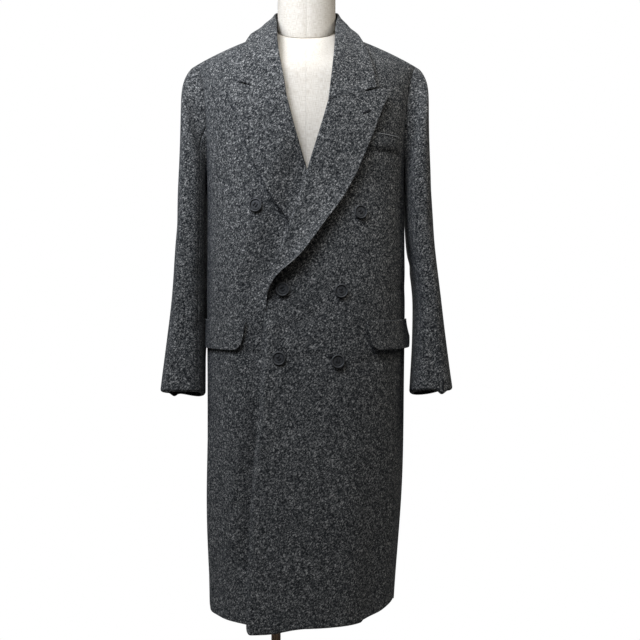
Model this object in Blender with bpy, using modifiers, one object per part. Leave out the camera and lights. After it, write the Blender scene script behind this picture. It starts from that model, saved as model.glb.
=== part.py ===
"""Double-breasted chesterfield coat on a limbless dress form.

Metres, +Z up.  The wearer faces -Y and the wearer's left side is +X.
The origin is the middle of the stand base's underside.

The coat body is one smooth surface, body(angle, level).  The angle goes round
the body: 0 is centre front, +90 degrees the wearer's left side, 180 the centre back.
The level climbs from 0 at the hem to 1 at the armpit and 2 on the shoulder seam.
Every cut piece is a patch of that surface, or lies on it, moved out along its normal.
"""
from collections import namedtuple

import bmesh
import bpy
import numpy as np

# Driving sizes of the coat
WALL = 0.0025            # tweed with its lining
SEAM = 0.0003            # gap between sewn pieces
HEM_Z = 0.360
ARMPIT_Z = 1.170
NECK_Z = 1.447           # shoulder ridge at the edge of the collar
NECK_HALF = 0.1063       # half distance between those two points
RIDGE_SOFT = 0.03        # rounding of the ridge over the neck
NECK_SLOPE = 0.65        # rise of the ridge inside the collar
SHOULDER_SLOPE = 0.375   # fall of the ridge outside it
SHOULDER_DROOP = 0.7     # extra fall with the square of the distance, per metre
SHOULDER_HALF = 0.2140   # half the shoulder width
SHOULDER_X = -0.002      # the coat hangs a little towards the wearer's right
MID_X = 0.002            # line that the two lapels mirror about
NECK_X = -0.005          # middle of the collar, which sits further over
TWIST_LOW = 1.320        # heights between which the one line turns into the other
TWIST_HIGH = 1.450
RIDGE_Y = 0.008          # shoulder seam lies just behind the side line
ARMHOLE_FRONT = np.radians(20)
ARMHOLE_BACK = np.radians(24)
RIDGE_PULL = 0.2         # share by which normals turn from the shoulder ends to the middle
NECKLINE_HALF = 0.085    # where the shoulder seam meets the collar seam, from the mirror line
NECKLINE_RISE = 0.690    # level above the armpit of the neckline at centre back

# Cross-sections of the coat body, from hem to armpit
Ring = namedtuple("Ring", "height half_width front_depth back_depth centre_x power")
RINGS = (
    Ring(0.30, 0.179, 0.166, 0.152, -0.0120, 2.15),
    Ring(0.36, 0.181, 0.165, 0.150, -0.0110, 2.15),
    Ring(0.60, 0.190, 0.161, 0.146, -0.0042, 2.20),
    Ring(0.80, 0.191, 0.156, 0.136, -0.0025, 2.30),
    Ring(0.96, 0.1915, 0.154, 0.130, -0.0022, 2.40),
    Ring(1.08, 0.1905, 0.146, 0.133, -0.0022, 2.40),
    Ring(1.17, 0.190, 0.137, 0.137, -0.0025, 2.40),
)
FRONT_CURL = 2.2         # how squarely the front turns over the shoulder
BACK_CURL = 2.8

# Soft vertical folds of the skirt: middle angle and width in degrees
Fold = namedtuple("Fold", "angle width top depth")
FOLDS = (
    Fold(47, 9, 0.62, -0.0040),
    Fold(64, 8, 0.56, 0.0035),
    Fold(-66, 11, 0.60, -0.0035),
    Fold(-120, 13, 0.66, 0.0050),
    Fold(128, 14, 0.64, 0.0045),
    Fold(158, 12, 0.70, -0.0040),
    Fold(-155, 12, 0.68, -0.0045),
)

# Front edge of the over-front, up through the roll line to the collar seam
Edge = namedtuple("Edge", "height x")
FRONT_EDGE = (
    Edge(0.340, -0.1110),
    Edge(0.480, -0.1055),
    Edge(0.640, -0.0960),
    Edge(0.760, -0.0845),
    Edge(0.850, -0.0790),
    Edge(0.940, -0.0725),
    Edge(0.985, -0.0620),
    Edge(1.040, -0.0430),
    Edge(1.090, -0.0250),
    Edge(1.187, 0.0070),
    Edge(1.270, 0.0310),
    Edge(1.317, 0.0435),
    Edge(1.370, 0.0580),
    Edge(1.420, 0.0710),
    Edge(1.456, 0.0800),
    Edge(1.500, 0.0880),
)

# How far the hem of each front hangs below HEM_Z, from its edge (0) to the side seam (1)
Hem = namedtuple("Hem", "share over_front under_front")
HEM = (
    Hem(0.00, 0.0260, 0.0105),
    Hem(0.12, 0.0205, 0.0105),
    Hem(0.24, 0.0105, 0.0105),
    Hem(0.36, 0.0072, 0.0105),
    Hem(0.50, 0.0068, 0.0105),
    Hem(0.60, 0.0033, 0.0105),
    Hem(0.69, -0.0020, 0.0107),
    Hem(0.77, -0.0100, 0.0102),
    Hem(0.85, -0.0105, 0.0088),
    Hem(0.93, -0.0040, 0.0062),
    Hem(1.00, 0.0000, 0.0000),
)
HEM_REACH = 0.20         # level at which the rows are even again

# How far the under-front lies beneath the over-front
LAP_SINK = 0.0058
LAPEL_SINK = 0.0145      # where the under lapel passes below
SINK_EASE = 0.060        # width over which it comes back up
SINK_MARGIN = 0.012      # it is fully down this far outside the over-front's edge
LAPEL_SINK_LOW = 0.93    # heights between which the deeper sink begins
LAPEL_SINK_HIGH = 1.01
SINK_FADE_LOW = 1.21     # heights between which both fronts come level again
SINK_FADE_HIGH = 1.31

# Lapel: roll line height against the outer edge and its lift, from the break to the peak
Lapel = namedtuple("Lapel", "roll_height edge_x edge_z edge_lift")
LAPEL = (
    Lapel(0.922, -0.0722, 0.9240, 0.0034),
    Lapel(0.944, -0.0670, 0.9480, 0.0055),
    Lapel(0.962, -0.0592, 0.9670, 0.0085),
    Lapel(0.985, -0.0395, 0.9930, 0.0120),
    Lapel(1.020, -0.0075, 1.0325, 0.0135),
    Lapel(1.080, 0.0345, 1.0905, 0.0135),
    Lapel(1.150, 0.0705, 1.1430, 0.0125),
    Lapel(1.220, 0.1124, 1.2225, 0.0115),
    Lapel(1.275, 0.1385, 1.2996, 0.0105),
    Lapel(1.304, 0.1508, 1.3304, 0.0100),
    Lapel(1.317, 0.1475, 1.3400, 0.0095),
)
UNDER_LAPEL_START = 4.2  # table row where the under lapel ends, out of sight
ROLL_RADIUS = 0.0042
ROLL_END_RADIUS = 0.0029  # at the break, where the roll runs out
ROLL_END_ROW = 2.5       # table row from which the roll is full
UNDER_EDGE_LIFT = 0.0085  # most that the under lapel's edge lifts
LAPEL_LIFT = 0.0060      # face of the lapel above the panel, past the roll
GORGE_BEND_X = 0.129     # end of the collar along the lapel's top edge
GORGE_BEND_Z = 1.3408
GORGE_GAP = 0.0022       # collar end above the lapel's end on the roll line
OVER_GORGE = -0.0035     # the wearer's left notch sits lower,
UNDER_GORGE = 0.0040     # the right one higher than the mean
GORGE_LOW = 1.20         # height from which the lapels shift so

# Collar: fold and outer edge, from the gorge round to the centre back, x from the middle line
Collar = namedtuple("Collar", "fold_x fold_y fold_z edge_x edge_y edge_z")
COLLAR = (
    Collar(0.0380, -0.1262, 1.3195, 0.1270, -0.0955, 1.3432),
    Collar(0.0510, -0.0965, 1.4060, 0.1190, -0.0690, 1.4030),
    Collar(0.0558, -0.0300, 1.4690, 0.0990, -0.0210, 1.4510),
    Collar(0.0606, 0.0250, 1.5030, 0.0880, 0.0380, 1.4540),
    Collar(0.0400, 0.0660, 1.5140, 0.0620, 0.0990, 1.4420),
    Collar(0.0000, 0.0790, 1.5170, 0.0000, 0.1140, 1.4370),
)
COLLAR_ROLL = 0.0032
FOLD_LEAN = 0.0042       # the fold line sits this far to the wearer's left of the outer edge's middle
COLLAR_BULGE = 0.004
COLLAR_CLEAR = 0.0012    # collar seam above the panels

# Sleeves: the flattened section from the armpit down to the cuff
Sleeve = namedtuple("Sleeve", "height inner_x outer_x centre_y half_depth")
SLEEVE_LEFT = (
    Sleeve(1.150, 0.1893, 0.2385, 0.004, 0.080),
    Sleeve(1.060, 0.1932, 0.2440, 0.000, 0.082),
    Sleeve(0.945, 0.2060, 0.2570, -0.010, 0.077),
    Sleeve(0.875, 0.2044, 0.2649, -0.021, 0.068),
    Sleeve(0.770, 0.1966, 0.2775, -0.042, 0.054),
)
SLEEVE_RIGHT = (
    Sleeve(1.150, 0.1948, 0.2465, 0.004, 0.080),
    Sleeve(1.060, 0.1960, 0.2530, 0.000, 0.082),
    Sleeve(0.945, 0.1978, 0.2606, -0.010, 0.077),
    Sleeve(0.875, 0.1990, 0.2680, -0.021, 0.068),
    Sleeve(0.770, 0.1955, 0.2790, -0.042, 0.054),
)
SLEEVE_POWER = 2.9
CAP_LEAVE = 0.8          # how far the sleeve head goes on with the shoulder's slope
CAP_ARRIVE = 0.85        # and how far up the arm's own line reaches
CAP_SLOPE = 0.5          # fall of the sleeve head at the shoulder
CAP_SIDEWAYS = 0.2       # how far it sets out sideways at the armpit, against 1 at the shoulder
CAP_FORWARD = 0.12       # and to the front and back
CAP_TURN = np.radians(50)  # the head's edge is cut as the panels' are, this far from the top
CAP_TILT = 0.020         # the first full ring is lower at the armpit
CUFF_TILT = np.tan(np.radians(11))
CUFF_TILT_TOP = 0.95     # height where the sleeve begins to pitch forward

# Pocket flaps and welt, each given on the body by its front end and true sizes
FLAP_FRONT_X = 0.1085
FLAP_TOP_Z = 0.910
FLAP_WIDTH = 0.150
FLAP_HEIGHT = 0.054
FLAP_CORNER = 0.020
FLAP_SLANT = 0.012       # the front edge leans back towards the corner
FLAP_STAND_OFF = 0.006   # of the lower edge, towards its back end
PRESSED_STAND_OFF = 0.0014  # the wearer's right flap lies under the sleeve
WELT_FRONT_X = 0.090
WELT_BACK_X = 0.172
WELT_TOP_Z = 1.2555
WELT_DROP = 0.006
WELT_HEIGHT = 0.034
WELT_LEAN = 0.004
TRIM_CLEAR = 0.0009
TRIM_WALL = 0.0022

# Buttons: where each one sits, seen from the front
Button = namedtuple("Button", "x z on_under_front")
BUTTONS = (
    Button(-0.0910, 1.1200, True),
    Button(0.0980, 1.1080, False),
    Button(0.0630, 0.9650, False),
    Button(-0.0490, 0.8435, False),
    Button(0.0570, 0.8380, False),
    Button(-0.0420, 0.9680, False),
)
BUTTON_RADIUS = 0.0125
BUTTON_HEIGHT = 0.0042
BUTTON_RIM = 0.0024
BUTTON_DISH = 0.0012
BUTTON_CLEAR = 0.0010
BUTTON_SIDES = 20
HOLE_RADIUS = 0.0011
HOLE_PITCH = 0.0027      # from the middle to each hole, along both axes
HOLE_SIDES = 6

# Dress form and stand
Torso = namedtuple("Torso", "height half_width front_depth back_depth centre_y power")
TORSO = (
    Torso(0.780, 0.150, 0.098, 0.098, 0.000, 2.2),
    Torso(0.900, 0.160, 0.108, 0.104, 0.000, 2.2),
    Torso(1.020, 0.148, 0.104, 0.096, 0.000, 2.2),
    Torso(1.150, 0.164, 0.112, 0.104, 0.000, 2.3),
    Torso(1.270, 0.170, 0.114, 0.106, 0.000, 2.3),
    Torso(1.345, 0.166, 0.106, 0.094, 0.003, 2.2),
    Torso(1.390, 0.140, 0.100, 0.080, 0.006, 2.1),
    Torso(1.422, 0.100, 0.095, 0.070, 0.009, 2.0),
    Torso(1.448, 0.068, 0.082, 0.060, 0.011, 2.0),
    Torso(1.464, 0.056, 0.056, 0.056, 0.012, 2.0),
)
FORM_X = -0.001          # the form stands a little to the wearer's right
NECK_TILT = 0.44         # fall of the neck seam towards the front
NECK_TILT_LOW = 1.36     # height where the rings of the torso begin to tilt
NECK_Y = 0.012
NECK_TOP = 1.570
NECK_DOME = 0.012
POLE_X = -0.062
POLE_RADIUS = 0.0092
BASE_RADIUS = 0.200
BASE_HEIGHT = 0.018
BASE_ROUND = 0.006

# Mesh rows and columns
SKIRT_LEVELS = (0, 0.07, 0.15, 0.24, 0.34, 0.44, 0.54, 0.63, 0.71, 0.79, 0.87, 0.94)
YOKE_RISES = (0, 0.05, 0.13, 0.24, 0.37, 0.50, 0.63, 0.76, 0.88, 1.0)
FRONT_COLUMNS = 13
BACK_SHOULDER_COLUMNS = 4
BACK_NECK_COLUMNS = 10
CAP_ROWS = (0, 0.07, 0.15, 0.23, 0.32, 0.42, 0.55, 0.72)
SLEEVE_HEIGHTS = (1.105, 1.06, 1.01, 0.965, 0.925, 0.89, 0.855, 0.82, 0.79, 0.77)
LAPEL_ROWS = 25
LAPEL_ROLL_COLUMNS = 7
LAPEL_FACE_COLUMNS = 7
COLLAR_STATIONS = 17     # on each half, the middle back shared
COLLAR_STAND = (0, 0.5)  # shares of the stand's height
COLLAR_ROLL_COLUMNS = 7
COLLAR_FALL_COLUMNS = 6
TORSO_SHOULDER_Z = 1.345
TORSO_TRUNK_ROWS = 11
TORSO_SHOULDER_ROWS = 10
NECK_SHARES = (0, 0.35, 0.7, 0.905)
NECK_DOME_ROWS = 5
FORM_SIDES = 28
SLEEVE_SEAM_ROW = 4      # the seam of top and under sleeve meets this armhole row


# Surfaces

def smooth(table, key, name, at):
    """Value of one table column at a key, on a smooth curve through the rows."""
    keys = np.array([getattr(row, key) for row in table])
    values = np.array([getattr(row, name) for row in table])
    return smooth_curve(keys, values, at)


def smooth_curve(keys, values, at):
    """Cubic Hermite curve through the values, with slopes from the neighbours."""
    slopes = np.gradient(values, keys)
    at = np.clip(np.asarray(at, float), keys[0], keys[-1])
    i = np.clip(np.searchsorted(keys, at) - 1, 0, len(keys) - 2)
    span = keys[i + 1] - keys[i]
    t = (at - keys[i]) / span
    rise = t * t * (3 - 2 * t)
    leave = t * (1 - t) ** 2 * span * slopes[i]
    arrive = t * t * (t - 1) * span * slopes[i + 1]
    return values[i] * (1 - rise) + values[i + 1] * rise + leave + arrive


def ease(low, high, at):
    """0 below low, 1 above high, and a soft step between."""
    t = np.clip((np.asarray(at, float) - low) / (high - low), 0, 1)
    return t * t * (3 - 2 * t)


def ridge(x):
    """Height of the shoulder ridge at x."""
    out = np.sqrt((x - NECK_X) ** 2 + RIDGE_SOFT ** 2) - NECK_HALF
    slope = np.where(out < 0, NECK_SLOPE, SHOULDER_SLOPE)
    return NECK_Z - slope * out - SHOULDER_DROOP * np.maximum(out, 0) ** 2


def frame_at(level):
    """Half width, front and back depth, middle and power of the ring at a level."""
    level = np.asarray(level, float)
    height = HEM_Z + (ARMPIT_Z - HEM_Z) * np.minimum(level, 1)
    rise = np.clip(level - 1, 0, 1)
    climb = 1 - (1 - rise) ** 2
    half = smooth(RINGS, "height", "half_width", height)
    half = half + (SHOULDER_HALF - half) * climb ** 2
    front = smooth(RINGS, "height", "front_depth", height)
    front = front * (1 - climb ** FRONT_CURL) ** (1 / FRONT_CURL)
    back = smooth(RINGS, "height", "back_depth", height)
    back = back * (1 - climb ** BACK_CURL) ** (1 / BACK_CURL)
    middle = smooth(RINGS, "height", "centre_x", height)
    middle = middle + (SHOULDER_X - middle) * climb
    power = smooth(RINGS, "height", "power", height)
    return height, climb, half, front, back, middle, power


def body_base(angle, level):
    """Point of the smooth coat body, without folds."""
    height, climb, half, front, back, middle, power = frame_at(level)
    sine, cosine = np.sin(angle), np.cos(angle)
    size = (np.abs(sine) ** power + np.abs(cosine) ** power) ** (-1 / power)
    x = middle + half * sine * size
    y = RIDGE_Y * climb ** 2 - np.where(cosine > 0, front, back) * cosine * size
    z = height + (ridge(x) - ARMPIT_Z) * climb
    return np.stack(np.broadcast_arrays(x, y, z), axis=-1)


def body_normal(angle, level):
    """Outward normal of the smooth coat body, kept clear of the ends of the shoulder ridge."""
    step = 0.002
    near_ridge = ease(1.5, 2, level) * RIDGE_PULL
    turn = (angle + np.pi) % (2 * np.pi) - np.pi
    side = np.where(turn < 0, -1, 1)
    turn = np.abs(turn)
    front = turn < np.pi / 2
    turn = np.where(front, turn * (1 - near_ridge), np.pi - (np.pi - turn) * (1 - near_ridge))
    angle = side * turn
    level = np.minimum(level, 2 - 3 * step)
    across = body_base(angle + step, level) - body_base(angle - step, level)
    up = body_base(angle, np.minimum(level + step, 2)) - body_base(angle, level - step)
    normal = np.cross(across, up)
    return normal / np.linalg.norm(normal, axis=-1, keepdims=True)


def fold_lift(angle, level):
    """Soft vertical folds, deepest at the hem."""
    height = HEM_Z + (ARMPIT_Z - HEM_Z) * level
    total = np.zeros(np.broadcast(angle, level).shape)
    for fold in FOLDS:
        turn = np.degrees(angle) - fold.angle
        turn = (turn + 180) % 360 - 180
        fading = 1 - ease(HEM_Z, fold.top, height)
        total = total + fold.depth * np.exp(-(turn / fold.width) ** 2) * fading
    return total


def body(angle, level, lift=0.0):
    """Point of the coat body with its folds, moved out by lift."""
    angle, level = np.broadcast_arrays(np.asarray(angle, float), np.asarray(level, float))
    out = fold_lift(angle, level) + lift
    return body_base(angle, level) + body_normal(angle, level) * out[..., None]


def level_at(x, z):
    """Level of the front point seen at x and z."""
    climb = np.clip((z - ARMPIT_Z) / (ridge(x) - ARMPIT_Z), 0, 1)
    return np.where(z < ARMPIT_Z, (z - HEM_Z) / (ARMPIT_Z - HEM_Z), 2 - np.sqrt(1 - climb))


def angle_at(x, level):
    """Angle on the front half at which the ring passes x."""
    _, _, half, _, _, middle, power = frame_at(level)
    across = np.clip((x - middle) / half, -1, 1)
    return np.arctan2(across, (1 - np.abs(across) ** power) ** (1 / power))


def on_front(x, z, lift=0.0):
    """Point of the coat's front seen at x and z, moved out by lift."""
    x, z = np.broadcast_arrays(np.asarray(x, float), np.asarray(z, float))
    level = level_at(x, z)
    return body(angle_at(x, level), level, lift)


def edge_x(z):
    """Front edge and roll line of the over-front."""
    return smooth(FRONT_EDGE, "height", "x", z)


def edge_on_level(level, side=1):
    """Where a ring of the body meets the over-front's edge, or its mirror image."""
    height = HEM_Z + (ARMPIT_Z - HEM_Z) * np.minimum(level, 1)
    edge = mirrored(edge_x(height), height, side)
    for _ in range(12):
        at = body_base(angle_at(edge, level), level)
        edge = mirrored(edge_x(at[..., 2]), at[..., 2], side)
    return edge


def middle_x(z):
    """Middle line of the fronts and collar."""
    return MID_X + (NECK_X - MID_X) * ease(TWIST_LOW, TWIST_HIGH, z)


def mirrored(x, z, side):
    """The over-front's x, or its mirror for the under-front."""
    return x if side > 0 else 2 * middle_x(z) - x


def under_sink(x, z):
    """How far the under-front lies below the coat body's surface."""
    fade = 1 - ease(SINK_FADE_LOW, SINK_FADE_HIGH, z)
    depth = LAP_SINK + (LAPEL_SINK - LAP_SINK) * ease(LAPEL_SINK_LOW, LAPEL_SINK_HIGH, z)
    start = edge_x(z) - SINK_MARGIN - SINK_EASE
    return -depth * fade * ease(start, start + SINK_EASE, x)


def armhole(rise, side):
    """Angle of the front (+1) or back (-1) armhole edge at a rise above the armpit."""
    swing = ARMHOLE_FRONT if side > 0 else ARMHOLE_BACK
    return np.pi / 2 - side * swing * np.sqrt(4 * rise * (1 - rise))


def unit(vector):
    """Vectors scaled to length 1."""
    return vector / np.linalg.norm(vector, axis=-1, keepdims=True)


def rest_on_body(points, least):
    """Points moved out of the coat's shoulders and chest until they clear them by least."""
    angle, level = np.meshgrid(np.radians(np.arange(0, 360, 3)), np.linspace(1.2, 2, 50))
    ground = body(angle, level).reshape(-1, 3)
    facing = body_normal(angle, level).reshape(-1, 3)
    flat = points.reshape(-1, 3)
    for _ in range(3):
        away = np.linalg.norm(flat[:, None] - ground[None], axis=-1)
        nearest = away.argmin(axis=1)
        above = np.sum((flat - ground[nearest]) * facing[nearest], axis=-1)
        flat = flat + facing[nearest] * np.maximum(least - above, 0)[:, None]
    return flat.reshape(points.shape)


# Meshes

def material(name, colour, roughness, metallic=0.0):
    """Principled material of one colour."""
    made = bpy.data.materials.new(name)
    made.use_nodes = True
    shader = made.node_tree.nodes["Principled BSDF"]
    shader.inputs["Base Color"].default_value = (*colour, 1)
    shader.inputs["Roughness"].default_value = roughness
    shader.inputs["Metallic"].default_value = metallic
    return made


def add_object(name, mesh, finish, smooth_angle=40):
    """Put a mesh into the coat's collection."""
    thing = bpy.data.objects.new(name, mesh)
    coat_parts.objects.link(thing)
    mesh.materials.clear()
    mesh.materials.append(finish)
    mesh.shade_smooth()
    mesh.set_sharp_from_angle(angle=np.radians(smooth_angle))
    return thing


def shell(name, outer, inner, finish):
    """Closed wall between an outer and an inner grid of points."""
    rows, columns = outer.shape[:2]
    index = np.arange(rows * columns).reshape(rows, columns)
    quads = np.stack((index[:-1, :-1], index[:-1, 1:], index[1:, 1:], index[1:, :-1]), axis=-1)
    quads = quads.reshape(-1, 4)
    loop = np.concatenate((index[0, :-1], index[:-1, -1], index[-1, :0:-1], index[:0:-1, 0]))
    following = np.roll(loop, -1)
    shift = rows * columns
    rim = np.stack((following, loop, loop + shift, following + shift), axis=-1)
    faces = np.concatenate((quads, quads[:, ::-1] + shift, rim))
    points = np.concatenate((outer.reshape(-1, 3), inner.reshape(-1, 3)))
    mesh = bpy.data.meshes.new(name)
    mesh.from_pydata(points.tolist(), [], faces.tolist())
    work = bmesh.new()
    work.from_mesh(mesh)
    bmesh.ops.recalc_face_normals(work, faces=work.faces)
    work.to_mesh(mesh)
    work.free()
    return add_object(name, mesh, finish)


def turned(name, profile, sides, finish):
    """Solid turned from a profile of (radius, height) points, top to bottom."""
    mesh = bpy.data.meshes.new(name)
    points = [(radius, 0, height) for radius, height in profile]
    mesh.from_pydata(points, [(i, i + 1) for i in range(len(points) - 1)], [])
    thing = add_object(name, mesh, finish)
    screw = thing.modifiers.new("turn", "SCREW")
    screw.steps = sides
    screw.render_steps = sides
    screw.use_merge_vertices = True
    screw.merge_threshold = 0.00001
    return thing


# Panels of the coat

def make_front(name, side, finish):
    """One front, from its edge or roll line to the side seam and armhole."""
    share = np.linspace(0, 1, FRONT_COLUMNS)
    seam_turn = SEAM / 2 / SHOULDER_HALF
    rows = []
    for level in SKIRT_LEVELS + tuple(1 + rise for rise in YOKE_RISES):
        start = angle_at(edge_on_level(level, side), level) * side
        end = armhole(level - 1, 1) if level >= 1 else np.pi / 2
        rows.append(start + (end - seam_turn - start) * share)
    angle = np.array(rows) * side
    level = np.array(SKIRT_LEVELS + tuple(1 + rise for rise in YOKE_RISES))[:, None] + 0 * angle
    drop = smooth(HEM, "share", "over_front" if side > 0 else "under_front", share)
    level = level - drop / (ARMPIT_Z - HEM_Z) * (1 - ease(0, HEM_REACH, level))
    lift = np.zeros(angle.shape)
    if side < 0:
        at = body_base(angle, level)
        lift = under_sink(at[..., 0], at[..., 2])
    outer = body(angle, level, lift)
    inner = body(angle, level, lift - WALL)
    outer[-1, :, 1] -= SEAM / 2
    inner[-1, :, 1] -= SEAM / 2
    return shell(name, outer, inner, finish)


def neckline_x():
    """Columns of the back at the top: shoulder, neck, shoulder."""
    left = np.linspace(SHOULDER_X + SHOULDER_HALF, NECK_X + NECKLINE_HALF, BACK_SHOULDER_COLUMNS + 1)
    neck = np.linspace(NECKLINE_HALF, -NECKLINE_HALF, BACK_NECK_COLUMNS + 1) + NECK_X
    right = np.linspace(NECK_X - NECKLINE_HALF, SHOULDER_X - SHOULDER_HALF, BACK_SHOULDER_COLUMNS + 1)
    return np.concatenate((left[:-1], neck, right[1:]))


def neckline_rise(x):
    """Level above the armpit of the back neckline: lowest in the middle."""
    out = np.minimum(np.abs(x - NECK_X) / NECKLINE_HALF, 1)
    return NECKLINE_RISE + (1 - NECKLINE_RISE) * out ** 2.5


def make_back(finish):
    """The back, from side seam to side seam, with the neckline cut out of its top."""
    top_x = neckline_x()
    share = np.linspace(0, 1, len(top_x))
    seam_turn = SEAM / 2 / SHOULDER_HALF
    angles, levels = [], []
    for step in SKIRT_LEVELS + tuple(1 + rise for rise in YOKE_RISES):
        rise = max(step - 1, 0)
        reach = np.where(step > 1, 1 + neckline_rise(top_x) * rise, step)
        end = armhole(rise, -1) if step > 1 else np.pi / 2
        even = end + seam_turn + (2 * np.pi - 2 * end - 2 * seam_turn) * share
        placed = np.pi - angle_at(top_x, reach)
        blend = rise ** 2 * np.where((share > 0) & (share < 1), 1, 0)
        angles.append(even + (placed - even) * blend)
        levels.append(reach + 0 * share)
    angle, level = np.array(angles), np.array(levels)
    outer = body(angle, level)
    inner = body(angle, level, -WALL)
    on_shoulder = level[-1] > 1.999
    outer[-1, on_shoulder, 1] += SEAM / 2
    inner[-1, on_shoulder, 1] += SEAM / 2
    return shell("back", outer, inner, finish)


# Sleeves

def sleeve_ring(table, height, turn):
    """Points of one flattened sleeve section, and its share of the forward pitch."""
    inner = smooth(table[::-1], "height", "inner_x", height)
    outer = smooth(table[::-1], "height", "outer_x", height)
    middle = smooth(table[::-1], "height", "centre_y", height)
    depth = smooth(table[::-1], "height", "half_depth", height)
    cosine, sine = np.cos(turn), np.sin(turn)
    size = (np.abs(cosine) ** SLEEVE_POWER + np.abs(sine) ** SLEEVE_POWER) ** (-1 / SLEEVE_POWER)
    x = (inner + outer) / 2 + (outer - inner) / 2 * cosine * size
    y = -depth * sine * size
    pitch = CUFF_TILT * (1 - ease(table[-1].height, CUFF_TILT_TOP, height))
    return np.stack((x, middle + y, height - pitch * y), axis=-1)


def sleeve_grid(side, table):
    """Rows from the armhole to the cuff, columns round the sleeve; and the armhole's normals."""
    rises = np.array(YOKE_RISES)
    turn = np.pi * np.concatenate((1 - rises[::-1], 1 + rises[1:-1]))
    angle = side * np.concatenate((armhole(rises[::-1], 1), armhole(rises[1:-1], -1)))
    level = 1 + np.concatenate((rises[::-1], rises[1:-1]))
    hole, hole_normal = body(angle, level), body_normal(angle, level)
    over = (1 + np.cos(turn)) / 2
    hole[:, 0] = side * hole[:, 0] + SEAM * (1 + over)
    hole_normal[:, 0] *= side
    first = sleeve_ring(table, table[0].height, turn)
    first[:, 2] += CAP_TILT * np.cos(turn)
    following = sleeve_ring(table, SLEEVE_HEIGHTS[0], turn)
    sideways = CAP_SIDEWAYS + (1 - CAP_SIDEWAYS) * over
    leave = unit(np.stack((sideways, -CAP_FORWARD * np.sin(turn), -1 + (1 - CAP_SLOPE) * over), axis=-1))
    reach = np.linalg.norm((first - hole)[:, :2], axis=-1)
    handle = hole + leave * (CAP_LEAVE * reach / np.hypot(leave[:, 0], leave[:, 1]))[:, None]
    rising = first - following
    target = first + rising / rising[:, 2:] * (CAP_ARRIVE * (hole - first)[:, 2:])
    rows = []
    for t in CAP_ROWS:
        rows.append(hole * (1 - t) ** 3 + 3 * handle * t * (1 - t) ** 2
                    + 3 * target * t ** 2 * (1 - t) + first * t ** 3)
    rows += [first] + [sleeve_ring(table, height, turn) for height in SLEEVE_HEIGHTS]
    return np.array(rows), turn, hole_normal


def make_sleeve(name, side, table, finish):
    """Top and under sleeve, two walls that share the armhole and the cuff."""
    grid, turn, hole_normal = sleeve_grid(side, table)
    along = (np.roll(grid, -1, axis=1) - np.roll(grid, 1, axis=1)) / 2
    down = np.gradient(grid, axis=0)
    normal = unit(np.cross(along, down))
    across = unit(np.cross(down, normal))
    top = ease(CAP_TURN, 0, np.abs(turn - 2 * np.pi * (turn > np.pi)))[:, None]
    normal[0] = unit(normal[0] + (hole_normal - normal[0]) * top)
    columns = grid.shape[1]
    front_seam = len(YOKE_RISES) - 1 - SLEEVE_SEAM_ROW
    back_seam = columns - front_seam
    made = []
    for label, first, last in (("under", front_seam, back_seam), ("top", back_seam, columns + front_seam)):
        pick = np.arange(first, last + 1) % columns
        outer, facing, aside = grid[:, pick].copy(), normal[:, pick], across[:, pick]
        outer[:, 0] += aside[:, 0] * SEAM / 2
        outer[:, -1] -= aside[:, -1] * SEAM / 2
        inner = outer - facing * WALL
        outer[..., 0] *= side
        inner[..., 0] *= side
        made.append(shell("sleeve_" + label + "_" + name, outer, inner, finish))
    return made


# Lapels and collar

def make_lapel(name, side, first_row, finish):
    """Rolled lapel facing, from its seam at the roll line to its free edge."""
    row = np.linspace(first_row, len(LAPEL) - 1, LAPEL_ROWS)
    index = np.arange(len(LAPEL))
    roll_z, free_x, free_z, free_lift = (
        smooth_curve(index, np.array([getattr(key, field) for key in LAPEL]), row) for field in Lapel._fields)
    roll_x = edge_x(roll_z)
    width = np.hypot(free_x - roll_x, free_z - roll_z)
    turn = np.linspace(-np.pi / 2, np.pi / 2, LAPEL_ROLL_COLUMNS)
    share = np.linspace(0, 1, LAPEL_FACE_COLUMNS + 1)[1:]
    full_radius = ROLL_END_RADIUS + (ROLL_RADIUS - ROLL_END_RADIUS) * ease(0, ROLL_END_ROW, row)[:, None]
    level_share = ease(0.55, 1.0, (row - first_row) / (row[-1] - first_row))
    shift = OVER_GORGE
    if side < 0:
        shift = UNDER_GORGE
        free_lift = np.minimum(free_lift, UNDER_EDGE_LIFT)

    def place(distance, lift):
        part = distance / width[:, None]
        x = roll_x[:, None] + (free_x - roll_x)[:, None] * part
        z = roll_z[:, None] + (free_z - roll_z)[:, None] * part
        bend = (GORGE_BEND_X - roll_x[-1]) / (free_x[-1] - roll_x[-1])
        straight = roll_z[-1] + (free_z[-1] - roll_z[-1]) * bend
        corner = np.minimum(part / bend, (1 - part) / (1 - bend))
        z = z + (GORGE_BEND_Z - straight) * np.clip(corner, 0, 1) * level_share[:, None] ** 3
        z = z + shift * ease(GORGE_LOW, GORGE_BEND_Z, z) * np.clip(part, 0, 1)
        if side < 0:
            x = mirrored(x, z, side)
            lift = lift + under_sink(x, z)
        return on_front(x, z, lift)

    def layer(inset):
        radius = full_radius - inset
        top = np.minimum(LAPEL_LIFT, 2 * full_radius - WALL)
        rise = top + (free_lift[:, None] - top) * share ** 2 - inset
        distance = np.concatenate((-SEAM - radius * np.cos(turn), width[:, None] * share), axis=1)
        return place(distance, np.concatenate((full_radius - WALL + radius * np.sin(turn), rise), axis=1))

    return shell(name, layer(0), layer(WALL), finish)


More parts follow.
